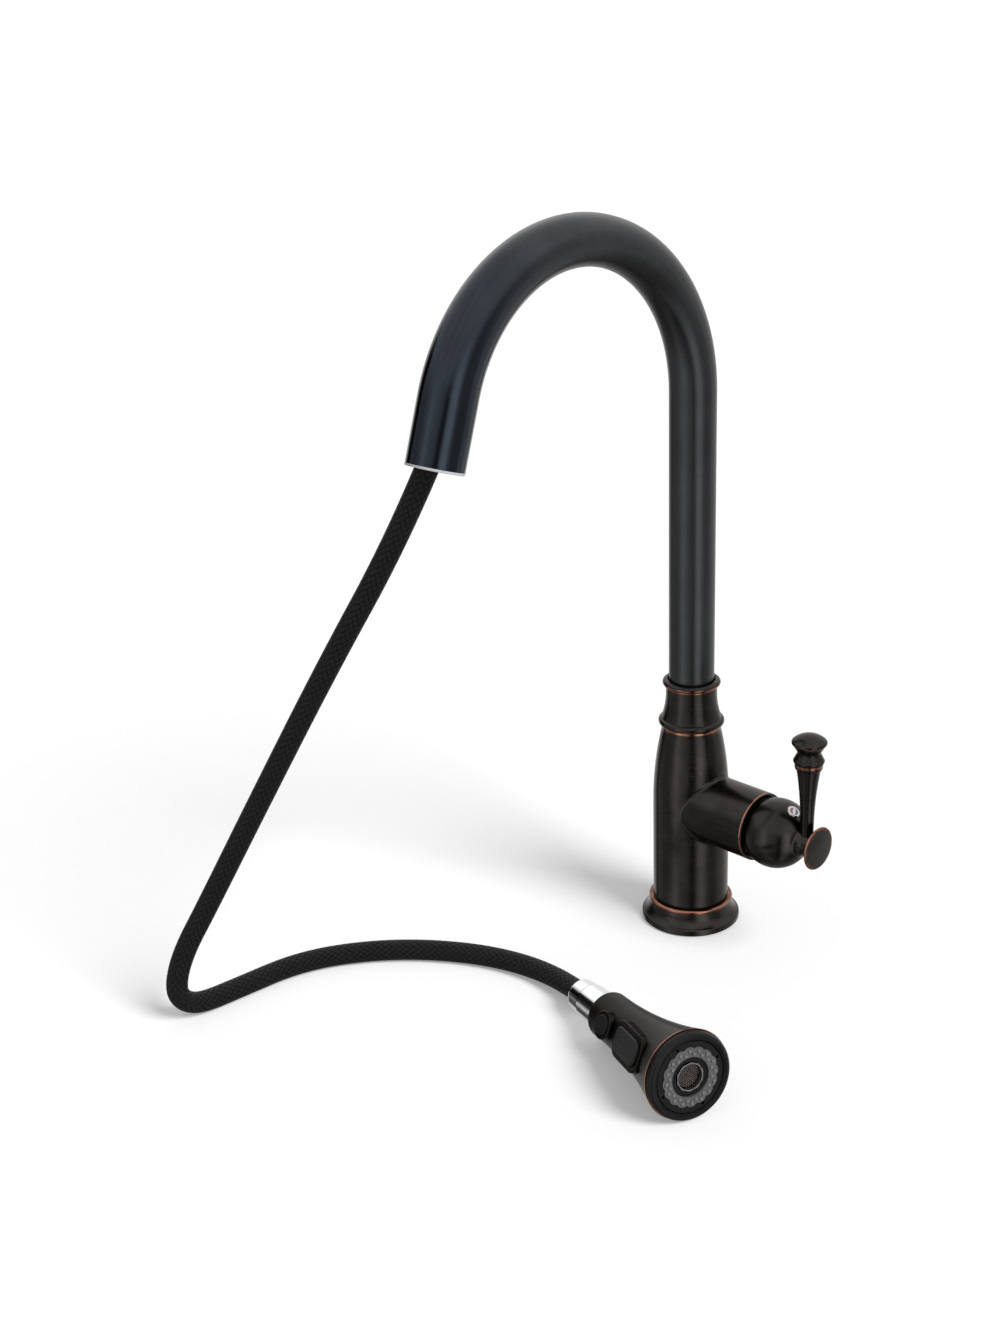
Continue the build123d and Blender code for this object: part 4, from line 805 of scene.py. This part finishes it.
class FAUCET_OT_hose(bpy.types.Operator):
    """Lay the braided hose from the outlet to the spray head"""

    bl_idname = "faucet.hose"
    bl_label = "Braided hose"

    def execute(self, context):
        finishes = context.scene.faucet_finishes
        sizes = context.scene.faucet_sizes
        route = smooth_route(hose_route)
        sides = sizes.hose_sides
        rings = rings_along(route, sizes.hose / 2, sides)
        points = [point for ring in rings for point in ring]
        material = braided_nylon(finishes, sizes)
        hose = new_piece("braided_hose", points, skin_faces(len(rings), sides), material)
        runs = [0.0]
        for before, after in zip(route, route[1:]):
            runs.append(runs[-1] + (after - before).length)
        self.unroll(hose.data, runs, sides, pi * sizes.hose)
        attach(hose, "spout")
        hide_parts("spray_hose")
        dress("hose_inner", moulded("Hose lining", finishes.braid, 0.6, 0.5, grain=1400.0))
        return {"FINISHED"}

    def unroll(self, mesh, runs, sides, girth):
        """Give the hose its braid coordinates: turns round it, and girths along it"""
        layer = mesh.uv_layers.new(name="braid")
        for face in mesh.polygons:
            corners = list(face.loop_indices)
            turns = [mesh.loops[corner].vertex_index % sides for corner in corners]
            wraps = max(turns) - min(turns) > 1 and len(corners) == 4
            for corner, turn in zip(corners, turns):
                place = mesh.loops[corner].vertex_index // sides
                past = sides if wraps and turn == 0 else 0
                layer.data[corner].uv = ((turn + past) / sides, runs[place] / girth)


class FAUCET_OT_body(bpy.types.Operator):
    """Finish the base flange, the body with its arm and the collar"""

    bl_idname = "faucet.body"
    bl_label = "Body and base"

    def execute(self, context):
        finishes = context.scene.faucet_finishes
        zero = Vector((0, 0, 0))
        dress("base_flange", rubbed_bronze(
            "Flange bronze", finishes, zero, upright, [(upright, flange_ring, 0.0014, 0.6)],
        ))
        dress("valve_body", rubbed_bronze(
            "Body bronze", finishes, zero, upright, [(arm_line, arm_ring, 0.0005, 1.0)],
        ))
        dress("spout_collar", rubbed_bronze(
            "Collar bronze", finishes, zero, upright,
            [(upright, collar_rings[0], 0.0018, 0.5), (upright, collar_rings[1], 0.0017, 0.5)],
        ))
        # Painted shade: the bonnet and cartridge nut get the bronze at half brightness, so the gap between arm and
        # dome reads dark
        inside = rubbed_bronze(
            "Bonnet bronze in painted shade", finishes, handle_centre, arm_line, [],
            shade=scaled(finishes.bronze, 0.5), wear=0.2,
        )
        dress("ball_bonnet", inside)
        dress("cartridge_nut", inside)
        return {"FINISHED"}


class FAUCET_OT_spout(bpy.types.Operator):
    """Finish the gooseneck and the guide in its outlet"""

    bl_idname = "faucet.spout"
    bl_label = "Gooseneck"

    def execute(self, context):
        finishes = context.scene.faucet_finishes
        dress("spout_tube", gooseneck_bronze(finishes))
        dress("outlet_guide", moulded("Outlet guide", finishes.grey, 0.4, 0.2, tone=0.06))
        return {"FINISHED"}


class FAUCET_OT_handle(bpy.types.Operator):
    """Finish the handle and set the hot and cold marks in its plug"""

    bl_idname = "faucet.handle"
    bl_label = "Handle"

    def execute(self, context):
        finishes = context.scene.faucet_finishes
        sizes = context.scene.faucet_sizes
        dress("handle_dome", rubbed_bronze(
            "Dome bronze", finishes, handle_centre, arm_line, [], wear=0.5,
        ))
        dress("handle_lever", rubbed_bronze("Lever bronze", finishes, under_lever, upright, []))
        dress("lever_knob", rubbed_bronze(
            "Knob bronze", finishes, under_lever, upright,
            [(upright, knob_rings[0], 0.0010, 0.8), (upright, knob_rings[1], 0.0008, 0.9)],
        ))
        dress("handle_finial", rubbed_bronze(
            "Finial bronze", finishes, handle_centre, arm_line, [(arm_line, finial_ring, 0.0008, 1.0)],
        ))
        plug = self.plug_axis()
        # Painted shade: the plug's chrome is the nut's chrome at half brightness
        plug_shaded_chrome = scaled(finishes.chrome, 0.5)
        dress("index_plug", bright_metal("Plug chrome in painted shade", plug_shaded_chrome, handle_centre, plug, 0.14, 0.05))
        marks = (("hot_mark", finishes.hot, radians(100)), ("cold_mark", finishes.cold, radians(280)))
        for name, shade, start in marks:
            self.add_mark(name, enamel(name.replace("_", " "), shade), plug, start, sizes)
        return {"FINISHED"}

    def plug_axis(self):
        low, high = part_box("index_plug")
        return ((low + high) / 2 - handle_centre).normalized()

    def add_mark(self, name, material, axis, start, sizes):
        """A crescent of enamel on the plug's face"""
        face = reach_along("index_plug", handle_centre, axis)[1]
        middle = handle_centre + axis * face
        first, second = across(axis)
        steps = 20
        rows = 5
        points = []
        for step in range(steps + 1):
            turn = start + sizes.mark_sweep * step / steps
            spoke = first * cos(turn) + second * sin(turn)
            swell = sin(pi * step / steps) ** 0.5
            inner = sizes.mark_outer - (sizes.mark_outer - sizes.mark_inner) * swell
            for row in range(rows):
                part = row / (rows - 1)
                rise = sizes.mark_rise * (1 - (2 * part - 1) ** 2) * swell
                reach = inner + (sizes.mark_outer - inner) * part
                points.append(middle + spoke * reach + axis * rise)
        faces = []
        for step in range(steps):
            for row in range(rows - 1):
                low = step * rows + row
                faces.append((low, low + 1, low + rows + 1, low + rows))
        mark = new_piece(name, points, faces, material)
        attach(mark, "handle")


class FAUCET_OT_head(bpy.types.Operator):
    """Finish the spray head's shell, its buttons and the chrome that joins it to the hose"""

    bl_idname = "faucet.head"
    bl_label = "Spray head"

    def execute(self, context):
        finishes = context.scene.faucet_finishes
        dress("head_shell", rubbed_bronze(
            "Bell bronze", finishes, head_origin, head_axis, [(head_axis, bell_ring, 0.0016, 0.3)],
            shade=finishes.bell, rough=0.36, wear=0.25,
        ))
        frame_bronze = rubbed_bronze(
            "Button frame bronze", finishes, head_origin, head_axis, [],
            shade=finishes.bell, rough=0.34, wear=0.3,
        )
        dress("pause_bezel", frame_bronze)
        dress("rocker_frame", frame_bronze)
        dress("pause_button", moulded("Soft black", finishes.grip, 0.52, 0.45, grain=1500.0))
        dress("mode_rocker", moulded(
            "Grained pad", finishes.grip, 0.5, 1.0, grain=1000.0, Specular_IOR_Level=0.25,
        ))
        chrome = bright_metal("Nut chrome", finishes.chrome, head_origin, head_axis, 0.06, 0.04)
        dress("docking_nut", chrome)
        dress("hose_ferrule", chrome)
        return {"FINISHED"}


class FAUCET_OT_face(bpy.types.Operator):
    """Finish the spray face and weave the aerator's screen"""

    bl_idname = "faucet.face"
    bl_label = "Spray face"

    def execute(self, context):
        finishes = context.scene.faucet_finishes
        sizes = context.scene.faucet_sizes
        dress("face_bezel", moulded("Face lip", finishes.black, 0.34, 0.25, grain=3000.0))
        dress("spray_plate", moulded("Spray plate", finishes.black, 0.42, 0.4, grain=2600.0))
        dress("aerator_housing", moulded("Aerator housing", finishes.black, 0.4, 0.3))
        tip = reach_along("nozzle_ring", head_origin, head_axis)[1]
        dress("nozzle_ring", moulded(
            "Nozzle silicone", finishes.silicone, 0.46, 0.3, grain=2000.0, tone=0.12,
            tips=(head_origin, head_axis, tip - sizes.nozzle_tip, tip), Coat_Weight=0.12,
        ))
        dress("aerator_ring", bright_metal(
            "Aerator chrome", scaled(finishes.steel, 0.55), head_origin, head_axis, 0.22, 0.08,
        ))
        self.add_screen(finishes, sizes)
        return {"FINISHED"}

    def add_screen(self, finishes, sizes):
        """Two sets of wires that pass over and under each other, cut to the screen's disc"""
        back, front = reach_along("aerator_screen", head_origin, head_axis)
        first, second = across(head_axis)
        radius = max(
            (point.co - head_origin).cross(head_axis).length
            for point in frame["nodes"]["aerator_screen"].data.vertices
        ) - sizes.wire
        middle = head_origin + head_axis * (back + front) / 2
        pitch = sizes.wire_pitch
        wires = int((radius - sizes.wire) / pitch)
        sides = 6
        points = []
        faces = []
        for along, beside, flip in ((first, second, 1), (second, first, -1)):
            for wire in range(-wires, wires + 1):
                half = sqrt(radius**2 - (wire * pitch) ** 2)
                steps = max(4, int(8 * half / pitch))
                line = []
                for step in range(steps + 1):
                    run = half * (2 * step / steps - 1)
                    lift = flip * cos(pi * (run / pitch + wire)) * sizes.wire / 2
                    line.append(middle + along * run + beside * (wire * pitch) + head_axis * lift)
                start = len(points)
                rings = rings_along(line, sizes.wire / 2, sides)
                points.extend(point for ring in rings for point in ring)
                faces.extend(skin_faces(len(rings), sides, start))
        material = bright_metal("Screen wire", finishes.screen, head_origin, head_axis, 0.34, 0.05)
        screen = new_piece("aerator_mesh", points, faces, material)
        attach(screen, "spray_head")
        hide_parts("aerator_screen")


class FAUCET_OT_spring(bpy.types.Operator):
    """Wind the pause button's spring"""

    bl_idname = "faucet.spring"
    bl_label = "Button spring"

    def execute(self, context):
        finishes = context.scene.faucet_finishes
        sizes = context.scene.faucet_sizes
        press = Vector(joints["pause_press"]["axis"]).normalized()
        places = [point.co for point in frame["nodes"]["pause_spring"].data.vertices]
        middle = sum(places, Vector()) / len(places)
        top, seat = reach_along("pause_spring", middle, press)
        half = sizes.spring_wire / 2
        radius = max((place - middle).cross(press).length for place in places) - half
        first, second = across(press)
        steps = 32 * sizes.spring_turns
        route = []
        for step in range(steps + 1):
            turn = tau * sizes.spring_turns * step / steps
            depth = top + half + (seat - top - 2 * half) * step / steps
            route.append(middle + press * depth + radius * (first * cos(turn) + second * sin(turn)))
        sides = 10
        points = [point for ring in rings_along(route, half, sides) for point in ring]
        material = bright_metal("Spring steel", finishes.steel, middle, press, 0.24, 0.1)
        spring = new_piece("button_spring", points, skin_faces(len(route), sides), material)
        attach(spring, "spray_head")
        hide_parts("pause_spring")
        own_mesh(spring)
        return {"FINISHED"}


class FAUCET_OT_inner_parts(bpy.types.Operator):
    """Finish the seals, cartridge and inner parts that the outside hides"""

    bl_idname = "faucet.inner_parts"
    bl_label = "Inner parts"

    def execute(self, context):
        finishes = context.scene.faucet_finishes
        stock = {
            "brass": bright_metal("Machined brass", finishes.brass, handle_centre, arm_line, 0.24, 0.3),
            "steel": bright_metal("Brushed steel", finishes.steel, head_origin, head_axis, 0.28, 0.3),
            "ceramic": moulded("Lapped ceramic", finishes.ceramic, 0.2, 0.08, tone=0.04),
            "black_plastic": moulded("Black plastic", finishes.black, 0.45, 0.4),
            "grey_plastic": moulded("Grey plastic", finishes.grey, 0.42, 0.3, tone=0.08),
            "seal_rubber": moulded("Seal rubber", finishes.rubber, 0.6, 0.5, grain=1600.0),
        }
        finished_elsewhere = {
            "base_flange", "valve_body", "spout_collar", "ball_bonnet", "cartridge_nut",
            "spout_tube", "outlet_guide", "hose_inner", "spray_hose", "hose_ferrule",
            "handle_dome", "index_plug", "handle_lever", "lever_knob", "handle_finial",
            "docking_nut", "head_shell", "pause_bezel", "pause_button", "pause_spring",
            "rocker_frame", "mode_rocker", "face_bezel", "spray_plate", "nozzle_ring",
            "aerator_housing", "aerator_ring", "aerator_screen",
        }
        for row in frame["record"]["subparts"]:
            if row["node"] not in finished_elsewhere:
                dress(row["node"], stock[row["material_slot"]])
        return {"FINISHED"}


class FAUCET_PT_pieces(bpy.types.Panel):
    """Lists the pieces and their sizes and colours"""

    bl_idname = "FAUCET_PT_pieces"
    bl_label = "Faucet"
    bl_space_type = "VIEW_3D"
    bl_region_type = "UI"
    bl_category = "Faucet"

    def draw(self, context):
        for operator in operators:
            self.layout.operator(operator.bl_idname)
        for settings in (
            context.scene.faucet_finishes, context.scene.faucet_sizes, context.scene.faucet_studio
        ):
            column = self.layout.column()
            for name in settings.__annotations__:
                column.prop(settings, name)


settings_groups = {
    "faucet_finishes": FaucetFinishes,
    "faucet_sizes": FaucetSizes,
    "faucet_studio": FaucetStudio,
}
operators = [
    FAUCET_OT_stage,
    FAUCET_OT_hose,
    FAUCET_OT_body,
    FAUCET_OT_spout,
    FAUCET_OT_handle,
    FAUCET_OT_head,
    FAUCET_OT_face,
    FAUCET_OT_spring,
    FAUCET_OT_inner_parts,
]


def register():
    for name, group in settings_groups.items():
        bpy.utils.register_class(group)
        setattr(bpy.types.Scene, name, bpy.props.PointerProperty(type=group))
    for operator in operators:
        bpy.utils.register_class(operator)
    bpy.utils.register_class(FAUCET_PT_pieces)


def unregister():
    bpy.utils.unregister_class(FAUCET_PT_pieces)
    for operator in reversed(operators):
        bpy.utils.unregister_class(operator)
    for name, group in settings_groups.items():
        delattr(bpy.types.Scene, name)
        bpy.utils.unregister_class(group)


def main():
    register()
    make_along_group()
    make_turned_group()
    make_band_group()
    make_scratch_group()
    make_moulded_group()
    make_braid_group()
    bpy.ops.faucet.stage()
    bpy.ops.faucet.hose()
    bpy.ops.faucet.body()
    bpy.ops.faucet.spout()
    bpy.ops.faucet.handle()
    bpy.ops.faucet.head()
    bpy.ops.faucet.face()
    bpy.ops.faucet.spring()
    bpy.ops.faucet.inner_parts()


if __name__ == "__main__":
    main()
